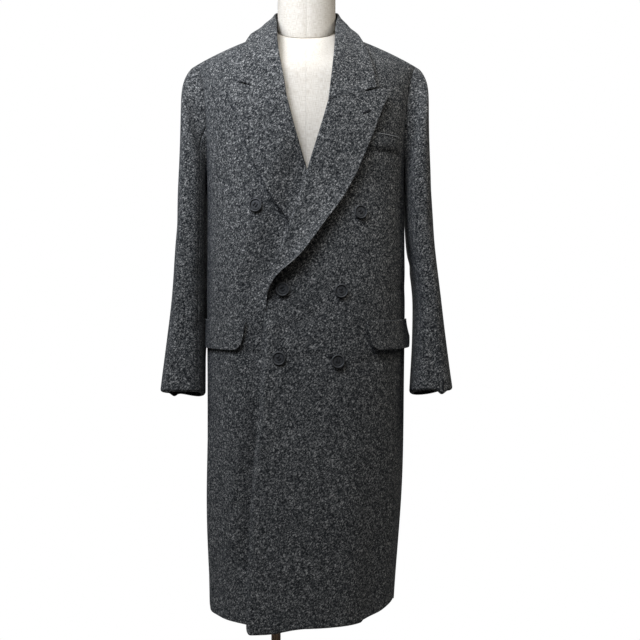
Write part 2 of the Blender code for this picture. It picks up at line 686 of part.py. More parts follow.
def collar_lines(stations):
    """Seam, fold and edge lines, from the wearer's left gorge round to the right one."""
    index = np.arange(len(COLLAR)) / (len(COLLAR) - 1)
    fold = [smooth_curve(index, np.array([getattr(key, "fold_" + axis) for key in COLLAR]), stations)
            for axis in "xyz"]
    free = [smooth_curve(index, np.array([getattr(key, "edge_" + axis) for key in COLLAR]), stations)
            for axis in "xyz"]
    gorge = LAPEL[-1].roll_height + GORGE_GAP
    gorge_level = float(level_at(edge_x(gorge), gorge))
    front_level = gorge_level + (2 - gorge_level) * np.clip(stations / 0.5, 0, 1)
    front_x = edge_on_level(front_level)
    front = body(angle_at(front_x, front_level), front_level, COLLAR_CLEAR)
    back_x = NECK_X + NECKLINE_HALF * np.clip((1 - stations) / 0.5, 0, 1)
    back_level = 1 + neckline_rise(back_x)
    behind = body(np.pi - angle_at(back_x, back_level), back_level, COLLAR_CLEAR)
    seam = np.where((stations < 0.5)[:, None], front, behind)
    fold, free = np.stack(fold, axis=-1), np.stack(free, axis=-1)
    middle = middle_x(fold[:, 2])
    fold_middle = middle + FOLD_LEAN * ease(TWIST_LOW, TWIST_HIGH, fold[:, 2])
    fold[:, 0] += fold_middle
    free[:, 0] += middle
    near_gorge = 1 - ease(0, 0.3, stations)
    shift = np.concatenate((OVER_GORGE * near_gorge, UNDER_GORGE * near_gorge[-2::-1]))
    free = both_halves(free, middle)
    free[:, 2] += shift
    return both_halves(seam, middle), both_halves(fold, fold_middle), free


def both_halves(line, middle):
    """A line of the wearer's left half carried on, past the centre back, by its mirror image."""
    other = line[-2::-1].copy()
    other[:, 0] = 2 * middle[-2::-1] - other[:, 0]
    return np.concatenate((line, other))


def make_collar(finish):
    """Collar stand and fall in one strip, rolled over at the fold line."""
    stations = np.linspace(0, 1, COLLAR_STATIONS)
    seam, fold, free = collar_lines(stations)
    to_seam, to_free = unit(seam - fold), unit(free - fold)
    tip = -unit(to_seam + to_free)
    across = unit(to_free - to_seam)
    centre = fold - tip * COLLAR_ROLL
    columns = [seam + (centre - across * COLLAR_ROLL - seam) * share for share in COLLAR_STAND]
    for turn in np.linspace(-np.pi / 2, np.pi / 2, COLLAR_ROLL_COLUMNS):
        columns.append(centre + COLLAR_ROLL * (np.cos(turn) * tip + np.sin(turn) * across))
    leave = columns[-1]
    for share in np.linspace(0, 1, COLLAR_FALL_COLUMNS + 1)[1:]:
        columns.append(leave + (free - leave) * share + across * COLLAR_BULGE * np.sin(np.pi * share))
    grid = np.stack(columns, axis=1)
    fall = len(columns) - COLLAR_FALL_COLUMNS
    stand = len(COLLAR_STAND) + COLLAR_ROLL_COLUMNS // 2
    grid[:, fall:] = rest_on_body(grid[:, fall:], WALL + COLLAR_CLEAR)
    normal = unit(np.cross(np.gradient(grid, axis=1), np.gradient(grid, axis=0)))
    inner = grid - normal * WALL
    grid[:, :stand] = rest_on_body(grid[:, :stand], COLLAR_CLEAR)
    inner[:, :stand] = rest_on_body(inner[:, :stand], COLLAR_CLEAR)
    inner[:, fall:] = rest_on_body(inner[:, fall:], COLLAR_CLEAR)
    return shell("collar", grid, inner, finish)


# Trim on the panels

def make_flap(name, side, finish):
    """Pocket flap with rounded lower corners, standing off at its lower edge."""
    level = float(level_at(FLAP_FRONT_X, FLAP_TOP_Z))
    fine = np.linspace(0, np.pi / 2, 400)
    walk = body_base(side * fine, level)
    length = np.concatenate(([0], np.cumsum(np.linalg.norm(np.diff(walk, axis=0), axis=1))))
    start = np.interp(FLAP_FRONT_X, np.abs(walk[:, 0]), length)
    corner = np.array((0, 0.02, 0.08, 0.18, 0.32))
    across = np.concatenate((corner * FLAP_CORNER * 3, np.linspace(0.3, 0.7, 5) * FLAP_WIDTH,
                             FLAP_WIDTH - corner[::-1] * FLAP_CORNER * 3))
    near = np.minimum(np.minimum(across, FLAP_WIDTH - across), FLAP_CORNER)
    cut = FLAP_CORNER - np.sqrt(np.maximum(FLAP_CORNER ** 2 - (FLAP_CORNER - near) ** 2, 0))
    down = np.linspace(0, 1, 5)[:, None]
    drop = down * (FLAP_HEIGHT - cut)
    slant = FLAP_SLANT * drop / FLAP_HEIGHT * (1 - across / FLAP_WIDTH)
    angle = side * np.interp(start + across + slant, length, fine)
    stand_off = FLAP_STAND_OFF if side > 0 else PRESSED_STAND_OFF
    lift = TRIM_CLEAR + (stand_off - TRIM_CLEAR) * down ** 1.5 * (0.35 + 0.65 * across / FLAP_WIDTH)
    height = level - drop / (ARMPIT_Z - HEM_Z)
    return shell(name, body(angle, height, lift + TRIM_WALL), body(angle, height, lift), finish)


def make_welt(finish):
    """Slanted chest pocket welt, lying flat on the over-front."""
    across = np.linspace(0, 1, 8)
    down = np.linspace(0, 1, 4)[:, None]
    x = WELT_FRONT_X + (WELT_BACK_X - WELT_FRONT_X) * across + WELT_LEAN * down
    z = WELT_TOP_Z - WELT_DROP * across - WELT_HEIGHT * down
    return shell("breast_welt", on_front(x, z, TRIM_CLEAR + TRIM_WALL), on_front(x, z, TRIM_CLEAR), finish)


def button_mesh(finish):
    """Four-hole button with a raised rim and a dished middle, lying on its back at z 0."""
    dish_edge = BUTTON_RADIUS - BUTTON_RIM
    profile = [(0, BUTTON_HEIGHT - BUTTON_DISH), (dish_edge - 0.001, BUTTON_HEIGHT - BUTTON_DISH),
               (dish_edge, BUTTON_HEIGHT - 0.0004), (BUTTON_RADIUS - 0.0012, BUTTON_HEIGHT),
               (BUTTON_RADIUS, BUTTON_HEIGHT - 0.0014), (BUTTON_RADIUS - 0.0012, 0), (0, 0)]
    blank = turned("button_blank", profile, BUTTON_SIDES, finish)
    for x in (-HOLE_PITCH, HOLE_PITCH):
        for y in (-HOLE_PITCH, HOLE_PITCH):
            bpy.ops.mesh.primitive_cylinder_add(vertices=HOLE_SIDES, radius=HOLE_RADIUS, depth=0.02,
                                                location=(x, y, 0))
            drill = bpy.context.object
            drill.name = "button_hole_cutter"
            for owner in list(drill.users_collection):
                owner.objects.unlink(drill)
            cutters.objects.link(drill)
            drill.hide_render = True
            drill.display_type = "WIRE"
            cut = blank.modifiers.new("hole", "BOOLEAN")
            cut.operation = "DIFFERENCE"
            cut.object = drill
    bpy.context.view_layer.update()
    evaluated = blank.evaluated_get(bpy.context.evaluated_depsgraph_get())
    mesh = bpy.data.meshes.new_from_object(evaluated)
    bpy.data.objects.remove(blank)
    return mesh


def make_buttons(finish):
    """Six buttons, each turned to face out of the panel it is sewn to."""
    mesh = button_mesh(finish)
    for number, button in enumerate(BUTTONS, start=1):
        lift = BUTTON_CLEAR
        if button.on_under_front:
            lift += float(under_sink(button.x, button.z))
        place = on_front(button.x, button.z, lift)
        level = level_at(button.x, button.z)
        facing = body_normal(angle_at(button.x, level), level)
        thing = add_object("button_" + str(number), mesh, finish)
        thing.location = place
        thing.rotation_euler = (np.arccos(facing[2]), 0, np.arctan2(facing[1], facing[0]) + np.pi / 2)


# Dress form and stand

def loft(name, rings, finish):
    """Solid through rings of points, from bottom to top, closed flat at both ends."""
    rows, sides = rings.shape[:2]
    index = np.arange(rows * sides).reshape(rows, sides)
    after = np.roll(index, -1, axis=1)
    walls = np.stack((index[:-1], after[:-1], after[1:], index[1:]), axis=-1).reshape(-1, 4)
    faces = walls.tolist() + [index[0, ::-1].tolist(), index[-1].tolist()]
    mesh = bpy.data.meshes.new(name)
    mesh.from_pydata(rings.reshape(-1, 3).tolist(), [], faces)
    return add_object(name, mesh, finish)


def make_torso(finish):
    """Limbless torso: rings from the hip to the neck seam, where they tilt to the front."""
    trunk = np.linspace(TORSO[0].height, TORSO_SHOULDER_Z, TORSO_TRUNK_ROWS)
    shoulder = np.linspace(TORSO_SHOULDER_Z, TORSO[-1].height, TORSO_SHOULDER_ROWS)
    height = np.concatenate((trunk, shoulder[1:]))[:, None]
    turn = np.linspace(0, 2 * np.pi, FORM_SIDES, endpoint=False)
    half, front, back, middle, power = (smooth(TORSO, "height", name, height) for name in Torso._fields[1:])
    size = (np.abs(np.sin(turn)) ** power + np.abs(np.cos(turn)) ** power) ** (-1 / power)
    x = FORM_X + half * np.sin(turn) * size
    y = middle - np.where(np.cos(turn) > 0, front, back) * np.cos(turn) * size
    tilt = NECK_TILT * ease(NECK_TILT_LOW, TORSO[-1].height, height)
    return loft("form_torso", np.stack((x, y, height + tilt * (y - NECK_Y)), axis=-1), finish)


def make_neck(finish):
    """Round neck on the tilted neck seam, level and gently domed on top."""
    radius = TORSO[-1].half_width
    foot = TORSO[-1].height + SEAM
    dome = np.linspace(0, np.pi / 2, NECK_DOME_ROWS + 1)[1:-1]
    share = np.array(NECK_SHARES)
    edge_z = foot + (NECK_TOP - foot) * share
    height = np.concatenate((edge_z, NECK_TOP - NECK_DOME * (1 - np.sin(dome))))[:, None]
    wide = np.concatenate((radius + 0 * share, radius * np.cos(dome)))[:, None]
    tilt = NECK_TILT * np.concatenate((1 - share, 0 * dome))[:, None]
    turn = np.linspace(0, 2 * np.pi, FORM_SIDES, endpoint=False)
    y = NECK_Y - wide * np.cos(turn)
    x = FORM_X + wide * np.sin(turn)
    return loft("form_neck", np.stack((x, y, height + tilt * (y - NECK_Y)), axis=-1), finish)


def make_stand(wood, metal):
    """Wooden pole and round base plate."""
    rounding = [(BASE_RADIUS - BASE_ROUND * (1 - np.sin(t)), BASE_HEIGHT - BASE_ROUND * (1 - np.cos(t)))
                for t in np.linspace(0, np.pi / 2, 4)]
    turned("stand_base", [(0, BASE_HEIGHT)] + rounding + [(BASE_RADIUS, 0), (0, 0)], 40, metal)
    foot = BASE_HEIGHT + SEAM
    top = TORSO[0].height - SEAM
    bpy.ops.mesh.primitive_cylinder_add(vertices=16, radius=POLE_RADIUS, depth=top - foot,
                                        location=(POLE_X, 0, (foot + top) / 2))
    pole = bpy.context.object
    pole.name = "stand_pole"
    for owner in list(pole.users_collection):
        owner.objects.unlink(pole)
    coat_parts.objects.link(pole)
    pole.data.materials.append(wood)


for thing in list(bpy.data.objects):
    bpy.data.objects.remove(thing, do_unlink=True)
coat_parts = bpy.data.collections.new("chesterfield_coat")
cutters = bpy.data.collections.new("cutters")
bpy.context.scene.collection.children.link(coat_parts)
bpy.context.scene.collection.children.link(cutters)

tweed = material("grey_tweed", (0.070, 0.075, 0.080), 0.95)
linen = material("natural_linen", (0.76, 0.74, 0.68), 0.90)
horn = material("dark_button", (0.045, 0.050, 0.055), 0.45)
beech = material("stained_wood", (0.13, 0.085, 0.050), 0.55)
steel = material("painted_steel", (0.03, 0.03, 0.032), 0.50)

make_front("front_left", 1, tweed)
make_front("front_right", -1, tweed)
make_back(tweed)
make_sleeve("left", 1, SLEEVE_LEFT, tweed)
make_sleeve("right", -1, SLEEVE_RIGHT, tweed)
make_lapel("lapel_left", 1, 0, tweed)
make_lapel("lapel_right", -1, UNDER_LAPEL_START, tweed)
make_collar(tweed)
make_flap("flap_left", 1, tweed)
make_flap("flap_right", -1, tweed)
make_welt(tweed)
make_buttons(horn)
make_torso(linen)
make_neck(linen)
make_stand(beech, steel)
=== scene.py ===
"""Looks of a double-breasted chesterfield coat on its dress form.

Metres, +Z up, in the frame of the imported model: the wearer faces -Y and the
wearer's left side is +X.  The coat body is one smooth surface, body(angle, level):
the angle goes round it from the centre front, the level climbs from 0 at the hem
to 1 at the armpit and 2 on the shoulder seam.  Each cut piece is a fine patch of that
surface, with the coat's creases in it, and stands for the solid of the same name.
"""
from collections import namedtuple

import bpy
import numpy as np
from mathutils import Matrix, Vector


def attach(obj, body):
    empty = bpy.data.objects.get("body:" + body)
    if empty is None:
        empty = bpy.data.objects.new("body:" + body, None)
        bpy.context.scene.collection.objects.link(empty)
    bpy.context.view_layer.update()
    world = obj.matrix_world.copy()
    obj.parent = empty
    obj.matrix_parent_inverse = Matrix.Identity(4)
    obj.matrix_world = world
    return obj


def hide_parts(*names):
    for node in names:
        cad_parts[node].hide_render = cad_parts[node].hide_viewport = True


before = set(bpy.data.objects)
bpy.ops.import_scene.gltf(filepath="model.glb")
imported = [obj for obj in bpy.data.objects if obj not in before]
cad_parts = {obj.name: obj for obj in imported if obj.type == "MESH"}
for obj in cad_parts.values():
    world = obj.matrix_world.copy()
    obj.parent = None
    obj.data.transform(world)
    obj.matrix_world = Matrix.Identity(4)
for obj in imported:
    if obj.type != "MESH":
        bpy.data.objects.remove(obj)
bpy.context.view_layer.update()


def table_of(columns, *rows):
    """Rows of a table whose columns have names."""
    row = namedtuple("Row", columns)
    return [row(*values) for values in rows]


# Driving sizes of the coat
WALL = 0.0025            # tweed with its lining
SEAM = 0.0003            # gap between sewn pieces
HEM_Z = 0.360
ARMPIT_Z = 1.170
SKIRT_HEIGHT = ARMPIT_Z - HEM_Z
NECK_Z = 1.447           # shoulder ridge at the edge of the collar
NECK_HALF = 0.1063       # half distance between those two points
RIDGE_SOFT = 0.03        # rounding of the ridge over the neck
NECK_SLOPE = 0.65        # rise of the ridge inside the collar
SHOULDER_SLOPE = 0.375   # fall of the ridge outside it
SHOULDER_DROOP = 0.7     # extra fall with the square of the distance, per metre
SHOULDER_HALF = 0.2140   # half the shoulder width
SHOULDER_X = -0.002      # the coat hangs a little towards the wearer's right
MID_X = 0.002            # line that the two lapels mirror about
NECK_X = -0.005          # middle of the collar, which sits further over
TWIST_LOW = 1.320        # heights between which the one line turns into the other
TWIST_HIGH = 1.450
RIDGE_Y = 0.008          # shoulder seam lies just behind the side line
ARMHOLE_FRONT = np.radians(20)  # swing of the armhole's edges from the side line
ARMHOLE_BACK = np.radians(24)
RIDGE_PULL = 0.2         # share by which normals turn from the shoulder ends to the middle
RIDGE_PULL_FROM = 1.5    # level from which they do
NORMAL_STEP = 0.002      # step of angle and level over which normals are taken
ON_RIDGE = 1.999         # level from which a point counts as lying on the shoulder seam
NECKLINE_HALF = 0.085    # where the shoulder seam meets the collar seam, from the mirror line
NECKLINE_RISE = 0.690    # level above the armpit of the neckline at centre back
NECKLINE_POWER = 2.5     # how late it climbs to the shoulders

# Cross-sections of the coat body, from hem to armpit
RINGS = table_of(
    "height half_width front_depth back_depth centre_x power",
    (0.30, 0.179, 0.166, 0.152, -0.0120, 2.15),
    (0.36, 0.181, 0.165, 0.150, -0.0110, 2.15),
    (0.60, 0.190, 0.161, 0.146, -0.0042, 2.20),
    (0.80, 0.191, 0.156, 0.136, -0.0025, 2.30),
    (0.96, 0.1915, 0.154, 0.130, -0.0022, 2.40),
    (1.08, 0.1905, 0.146, 0.133, -0.0022, 2.40),
    (1.17, 0.190, 0.137, 0.137, -0.0025, 2.40),
)
FRONT_CURL = 2.2         # how squarely the front turns over the shoulder
BACK_CURL = 2.8          # and the back

# Soft vertical folds of the skirt: middle angle and width in degrees
FOLDS = table_of(
    "angle width top depth",
    (47, 9, 0.62, -0.0040),
    (64, 8, 0.56, 0.0035),
    (-66, 11, 0.60, -0.0035),
    (-120, 13, 0.66, 0.0050),
    (128, 14, 0.64, 0.0045),
    (158, 12, 0.70, -0.0040),
    (-155, 12, 0.68, -0.0045),
)

# Front edge of the over-front, up through the roll line to the collar seam
FRONT_EDGE = table_of(
    "height x",
    (0.340, -0.1110),
    (0.480, -0.1055),
    (0.640, -0.0960),
    (0.760, -0.0845),
    (0.850, -0.0790),
    (0.940, -0.0725),
    (0.985, -0.0620),
    (1.040, -0.0430),
    (1.090, -0.0250),
    (1.187, 0.0070),
    (1.270, 0.0310),
    (1.317, 0.0435),
    (1.370, 0.0580),
    (1.420, 0.0710),
    (1.456, 0.0800),
    (1.500, 0.0880),
)

# How far the hem of each front hangs below HEM_Z, from its edge (0) to the side seam (1)
HEM = table_of(
    "share over_front under_front",
    (0.00, 0.0260, 0.0105),
    (0.12, 0.0205, 0.0105),
    (0.24, 0.0105, 0.0105),
    (0.36, 0.0072, 0.0105),
    (0.50, 0.0068, 0.0105),
    (0.60, 0.0033, 0.0105),
    (0.69, -0.0020, 0.0107),
    (0.77, -0.0110, 0.0102),
    (0.85, -0.0125, 0.0088),
    (0.93, -0.0040, 0.0062),
    (1.00, 0.0000, 0.0000),
)
HEM_REACH = 0.20         # level at which the rows are even again

# How far the under-front lies beneath the over-front
LAP_SINK = 0.0058
LAPEL_SINK = 0.0145      # where the under lapel passes below
LAPEL_SINK_RISE = (0.93, 1.01)  # heights between which the deeper sink begins
SINK_EASE = 0.060        # width over which it comes back up
SINK_MARGIN = 0.012      # it is fully down this far outside the over-front's edge
SINK_FADE = (1.21, 1.31)  # heights between which both fronts come level again
TROUGH = 0.0170          # in the skirt it falls in further, beside the over-front's edge
TROUGH_WIDTH = 0.038     # beginning this far outside the edge
TROUGH_OUT = 0.003       # and fully down from here inwards
TROUGH_RISE = (0.38, 0.50)  # heights between which this begins,
TROUGH_THIN = (0.62, 0.80)  # grows shallower
TROUGH_LOSS = 0.65       # by this share
TROUGH_FADE = (0.88, 0.94)  # and ends

# Lapel: roll line height against the outer edge and its lift, from the break to the peak
LAPEL = table_of(
    "roll_height edge_x edge_z edge_lift",
    (0.930, -0.0722, 0.9320, 0.0024),
    (0.946, -0.0702, 0.9490, 0.0042),
    (0.962, -0.0660, 0.9660, 0.0135),
    (0.985, -0.0490, 0.9935, 0.0220),
    (1.020, -0.0075, 1.0325, 0.0235),
    (1.080, 0.0345, 1.0905, 0.0195),
    (1.150, 0.0705, 1.1430, 0.0170),
    (1.220, 0.1068, 1.2225, 0.0125),
    (1.275, 0.1332, 1.2996, 0.0125),
    (1.304, 0.1448, 1.3290, 0.0125),
    (1.317, 0.1440, 1.3400, 0.0115),
)
UNDER_LAPEL_START = 4.2  # table row where the under lapel ends, out of sight
ROLL_RADIUS = 0.0042
ROLL_END_RADIUS = 0.0022  # at the break, where the roll runs out
ROLL_END_ROW = 2.5       # table row from which the roll is full
LAPEL_LIFT = 0.0060      # face of the lapel above the panel, past the roll
LAPEL_CURL = 2.6         # how late the face curls up towards its edge
UNDER_EDGE_LIFT = 0.0095  # the under lapel lies flat
GORGE_BEND_X = 0.129     # end of the collar along the lapel's top edge
GORGE_BEND_Z = 1.3408
GORGE_GAP = 0.0008       # collar end above the lapel's end on the roll line
OVER_GORGE = -0.0075     # the wearer's left notch sits lower,
UNDER_GORGE = 0.0040     # the right one higher than the mean
GORGE_LOW = 1.20         # height from which the lapels shift so
GORGE_BLEND = 0.035      # length of collar over which its end turns to meet the lapel
GORGE_START = GORGE_BLEND / 4  # width past the roll over which they come to meet
NOTCH_START = 0.098      # from here to its outer edge the collar is free of the lapel
NOTCH_END = 0.115
NOTCH_GAPE = 0.0012      # so far apart
GORGE_LEVEL_FROM = 0.55  # share of the lapel's rows after which they turn to the line of its top edge
GORGE_LEVEL_POWER = 3    # and how late

# Collar: fold and outer edge, from the gorge round to the centre back, x from the middle line
COLLAR = table_of(
    "fold_x fold_y fold_z edge_x edge_y edge_z",
    (0.0380, -0.1262, 1.3178, 0.1270, -0.0955, 1.3430),
    (0.0510, -0.0965, 1.4060, 0.1190, -0.0690, 1.4030),
    (0.0558, -0.0300, 1.4690, 0.0990, -0.0210, 1.4510),
    (0.0606, 0.0250, 1.5030, 0.0880, 0.0380, 1.4540),
    (0.0400, 0.0660, 1.5140, 0.0620, 0.0990, 1.4420),
    (0.0000, 0.0790, 1.5170, 0.0000, 0.1140, 1.4370),
)
COLLAR_ROLL = 0.0032     # radius of the fold
FOLD_LEAN = 0.0042       # the fold line sits this far to the wearer's left of the outer edge's middle
COLLAR_BULGE = 0.004     # rounding of the fall
COLLAR_STAND_OFF = 0.0040  # of its free edge
COLLAR_FREE = 0.72       # share of the strip's width from which it stands off
COLLAR_CLEAR = 0.0012    # collar seam above the panels
COLLAR_SHOULDER = 0.5    # share of half the collar that lies before the shoulder seam
COLLAR_SHIFT_END = 0.3   # share of it that shifts with the lapel's notch

# Sleeves: the flattened section from the armpit down to the cuff, by side (1 is the wearer's left)
SLEEVE_COLUMNS = "height inner_x outer_x centre_y half_depth"
SLEEVES = {
    1: table_of(
        SLEEVE_COLUMNS,
        (1.150, 0.1893, 0.2385, 0.004, 0.080),
        (1.060, 0.1932, 0.2440, 0.000, 0.082),
        (0.945, 0.2060, 0.2570, -0.010, 0.077),
        (0.875, 0.2044, 0.2649, -0.021, 0.068),
        (0.770, 0.1966, 0.2775, -0.042, 0.054),
    ),
    -1: table_of(
        SLEEVE_COLUMNS,
        (1.150, 0.1948, 0.2465, 0.004, 0.080),
        (1.060, 0.1958, 0.2515, 0.000, 0.082),
        (0.945, 0.1965, 0.2590, -0.010, 0.077),
        (0.875, 0.1970, 0.2668, -0.021, 0.068),
        (0.770, 0.1955, 0.2790, -0.042, 0.054),
    ),
}
SLEEVE_TURN_IN = {1: 0.0, -1: 0.10}  # inward shift of each sleeve's back, as a share of its depth
TURN_IN = (0.83, 1.06)   # heights between which it does
TURN_IN_EASE = 0.07      # and the height over which that begins and ends
SLEEVE_POWER = 2.9       # how square the section is; 2 is an ellipse
CAP_LEAVE = 0.8          # how far the sleeve head goes on with the shoulder's slope
CAP_ARRIVE = 0.85        # and how far up the arm's own line reaches
CAP_SLOPE = 0.5          # fall of the sleeve head at the shoulder
CAP_SIDEWAYS = 0.2       # how far it sets out sideways at the armpit, against 1 at the shoulder
CAP_FORWARD = 0.12       # and to the front and back
CAP_TURN = np.radians(50)  # the head's edge is cut as the panels' are, this far from the top
CAP_EDGE = 0.015         # and for this length of cloth
CAP_TILT = 0.020         # the first full ring is lower at the armpit
CAP_TILT_LOW = 1.06      # height where the rings are level again
CUFF_TILT = np.tan(np.radians(9.4))  # pitch of the cuff, lower behind
CUFF_TILT_TOP = 0.95     # height where the sleeve begins to pitch forward
CUFF_ROLL = 0.0060       # radius of the cuff's soft edge
CUFF_STEP_REACH = 0.045  # length of sleeve over which the uneven drop of the cuff fades

# Pocket flaps and welt, each given on the body by its front end and true sizes
FLAP_FRONT_X = 0.1085
FLAP_TOP_Z = 0.910
FLAP_WIDTH = 0.150
FLAP_HEIGHT = 0.054
FLAP_CORNER = 0.020
FLAP_SLANT = 0.012       # the front edge leans back towards the corner
FLAP_STAND_OFF = 0.0080  # of the lower edge, towards its back end
FLAP_FRONT_SHARE = 0.6   # share of that at its front corner
FLAP_FLARE = 1.5         # how late it leaves the panel on the way down
PRESSED_STAND_OFF = 0.0030  # the wearer's right flap lies under the sleeve
WELT_FRONT_X = 0.090
WELT_BACK_X = 0.172
WELT_TOP_Z = 1.2555
WELT_DROP = 0.006        # fall of its top edge towards the back end
WELT_FOOT_LOSS = 0.4     # share of that which its foot doesn't have
WELT_HEIGHT = 0.034
WELT_LEAN = 0.004        # shift of its foot towards the back end
WELT_ROLL = 0.0026       # its padded face stands this far off,
WELT_ROLL_START = 0.2    # on a sine that starts at this share of half a turn
WELT_ROLL_SPAN = 0.72    # and goes on for this share
WELT_REACH = 0.0072      # its sewn edges sink within this distance
WELT_HIGHLIGHT = (0.128, 0.1705)  # x of the two ends of the pale line of painted highlight on the welt's top edge, where that edge catches the light
WELT_HIGHLIGHT_RADIUS = 0.0009
WELT_HIGHLIGHT_PROUD = 0.4     # share of its radius by which it stands up
WELT_HIGHLIGHT_DIVE = 2.5      # and radii by which its ends go down
TRIM_CLEAR = 0.0009      # trim above the panels
TRIM_WALL = 0.0022

# Buttons: where each one sits, seen from the front, and how its holes are turned (degrees)
BUTTONS = table_of(
    "x z on_under_front turn",
    (-0.0910, 1.1200, True, 52),
    (0.0980, 1.1080, False, 40),
    (0.0630, 0.9650, False, 12),
    (-0.0490, 0.8435, False, 33),
    (0.0570, 0.8380, False, 70),
    (-0.0420, 0.9680, False, 25),
)
BUTTON_CLEAR = 0.0010    # underside above the panel

# Profile of a button, from the middle of its underside round the rim to the dish
BUTTON_PROFILE = table_of(
    "radius height",
    (0.0002, 0.0000), (0.0100, 0.0000), (0.0112, 0.0002), (0.0121, 0.0012), (0.0125, 0.0028),
    (0.0121, 0.0040), (0.0112, 0.0046), (0.0101, 0.0041), (0.0091, 0.0019), (0.0079, 0.0028),
    (0.0002, 0.0029),
)
HOLE_RADIUS = 0.0013
HOLE_EDGE = 0.0003       # half the width of its soft edge
HOLE_PITCH = 0.0025      # from the middle to each hole, along both axes
HOLE_DEPTH = 0.0016
THREAD_RADIUS = 0.0009
THREAD_RISE = 0.0005     # a stitch lies this far above the dish
THREAD_DIVE = 0.0012     # and goes down so far at its ends,
THREAD_POWER = 4         # this late

# Buttonholes, and the cuff vent's dark line of painted shade under its overlapping edge: x and z of the two
# ends, seen from the front
LAPEL_SLIT = ((0.1025, 1.2875), (0.1172, 1.2934))
CUFF_SLIT = ((0.2548, 0.7985), (0.2552, 0.7795))
FRONT_SLIT = ((0.0405, 0.8465), (0.0500, 0.8475))
SLIT_HALF = 0.0011       # half the distance between its rows of stitches, and their radius
SLIT_PROUD = 0.5         # share of that by which it stands up
SLIT_DIVE = 3            # and how many times that its ends go down
END_POWER = 8            # how late the ends of a slit or of the painted highlight do so
FORWARD = np.array((0.0, -1.0, 0.0))  # the way that slits and the painted highlight face
FRONT_SLIT_X = (0.03, 0.06)  # stretch of the over-front that is searched for its place
FRONT_SLIT_Z = (0.83, 0.86)
CUFF_SLIT_Z = (0.77, 0.81)  # stretch of the wearer's left sleeve that is searched
CUFF_SLIT_TURN = (15, 80)  # degrees

# Dress form and stand
TORSO = table_of(
    "height half_width front_depth back_depth centre_y power",
    (0.780, 0.150, 0.098, 0.098, 0.000, 2.2),
    (0.900, 0.160, 0.108, 0.104, 0.000, 2.2),
    (1.020, 0.148, 0.104, 0.096, 0.000, 2.2),
    (1.150, 0.164, 0.112, 0.104, 0.000, 2.3),
    (1.270, 0.170, 0.114, 0.106, 0.000, 2.3),
    (1.345, 0.166, 0.106, 0.094, 0.003, 2.2),
    (1.390, 0.140, 0.100, 0.080, 0.006, 2.1),
    (1.422, 0.100, 0.095, 0.070, 0.009, 2.0),
    (1.448, 0.068, 0.082, 0.060, 0.011, 2.0),
    (1.464, 0.056, 0.056, 0.056, 0.012, 2.0),
)
FORM_X = -0.001          # the form stands a little to the wearer's right
NECK_TILT = 0.44         # fall of the neck seam towards the front
NECK_TILT_LOW = 1.36     # height where the rings of the torso begin to tilt
NECK_Y = 0.012
NECK_TOP = 1.570
NECK_DOME = 0.012
NECK_STRAIGHT = 0.905    # share of the neck's height below the dome
POLE_X = -0.062
POLE_RADIUS = 0.0092
BASE_RADIUS = 0.200
BASE_HEIGHT = 0.018
BASE_ROUND = 0.006       # of its upper edge
BASE_FOOT = 0.001        # bevel of its lower edge
BASE_MIDDLE = 0.004      # radius of the flat faces that close its middle

# Studio, light and camera
FLOOR_RADIUS = 0.72
FLOOR_MIDDLE = 0.01
FLOOR_TOP = -0.0005
FLOOR_UNDER = -0.012
LAMPS = table_of(
    "name place target size power colour",
    ("top_front", (0.0, -1.4, 2.9), (0.0, 0.0, 1.1), 1.0, 20.5, "#fafbff"),
    ("high_left", (-1.7, -0.5, 2.4), (0.0, 0.0, 1.2), 1.0, 17.0, "#f4f7ff"),
    ("near_left", (-0.5, -0.8, 1.9), (0.0, 0.0, 1.2), 0.5, 9.2, "#e2ebff"),
    ("top_left", (-0.5, -0.6, 2.4), (0.0, 0.0, 1.2), 0.6, 6.5, "#f4f7ff"),
    ("high_right", (1.7, -0.5, 2.4), (0.0, 0.0, 1.2), 1.0, 11.2, "#fffaf4"),
    ("behind", (0.0, 2.4, 2.0), (0.0, 0.0, 0.9), 1.5, 30, "#ffffff"),
)
CAMERA_PLACE = (0.025, -2.0, 0.99)
CAMERA_DOWN = 2.4        # degrees below level
CAMERA_LENS = 57.7       # millimetres
CAMERA_SENSOR = 36
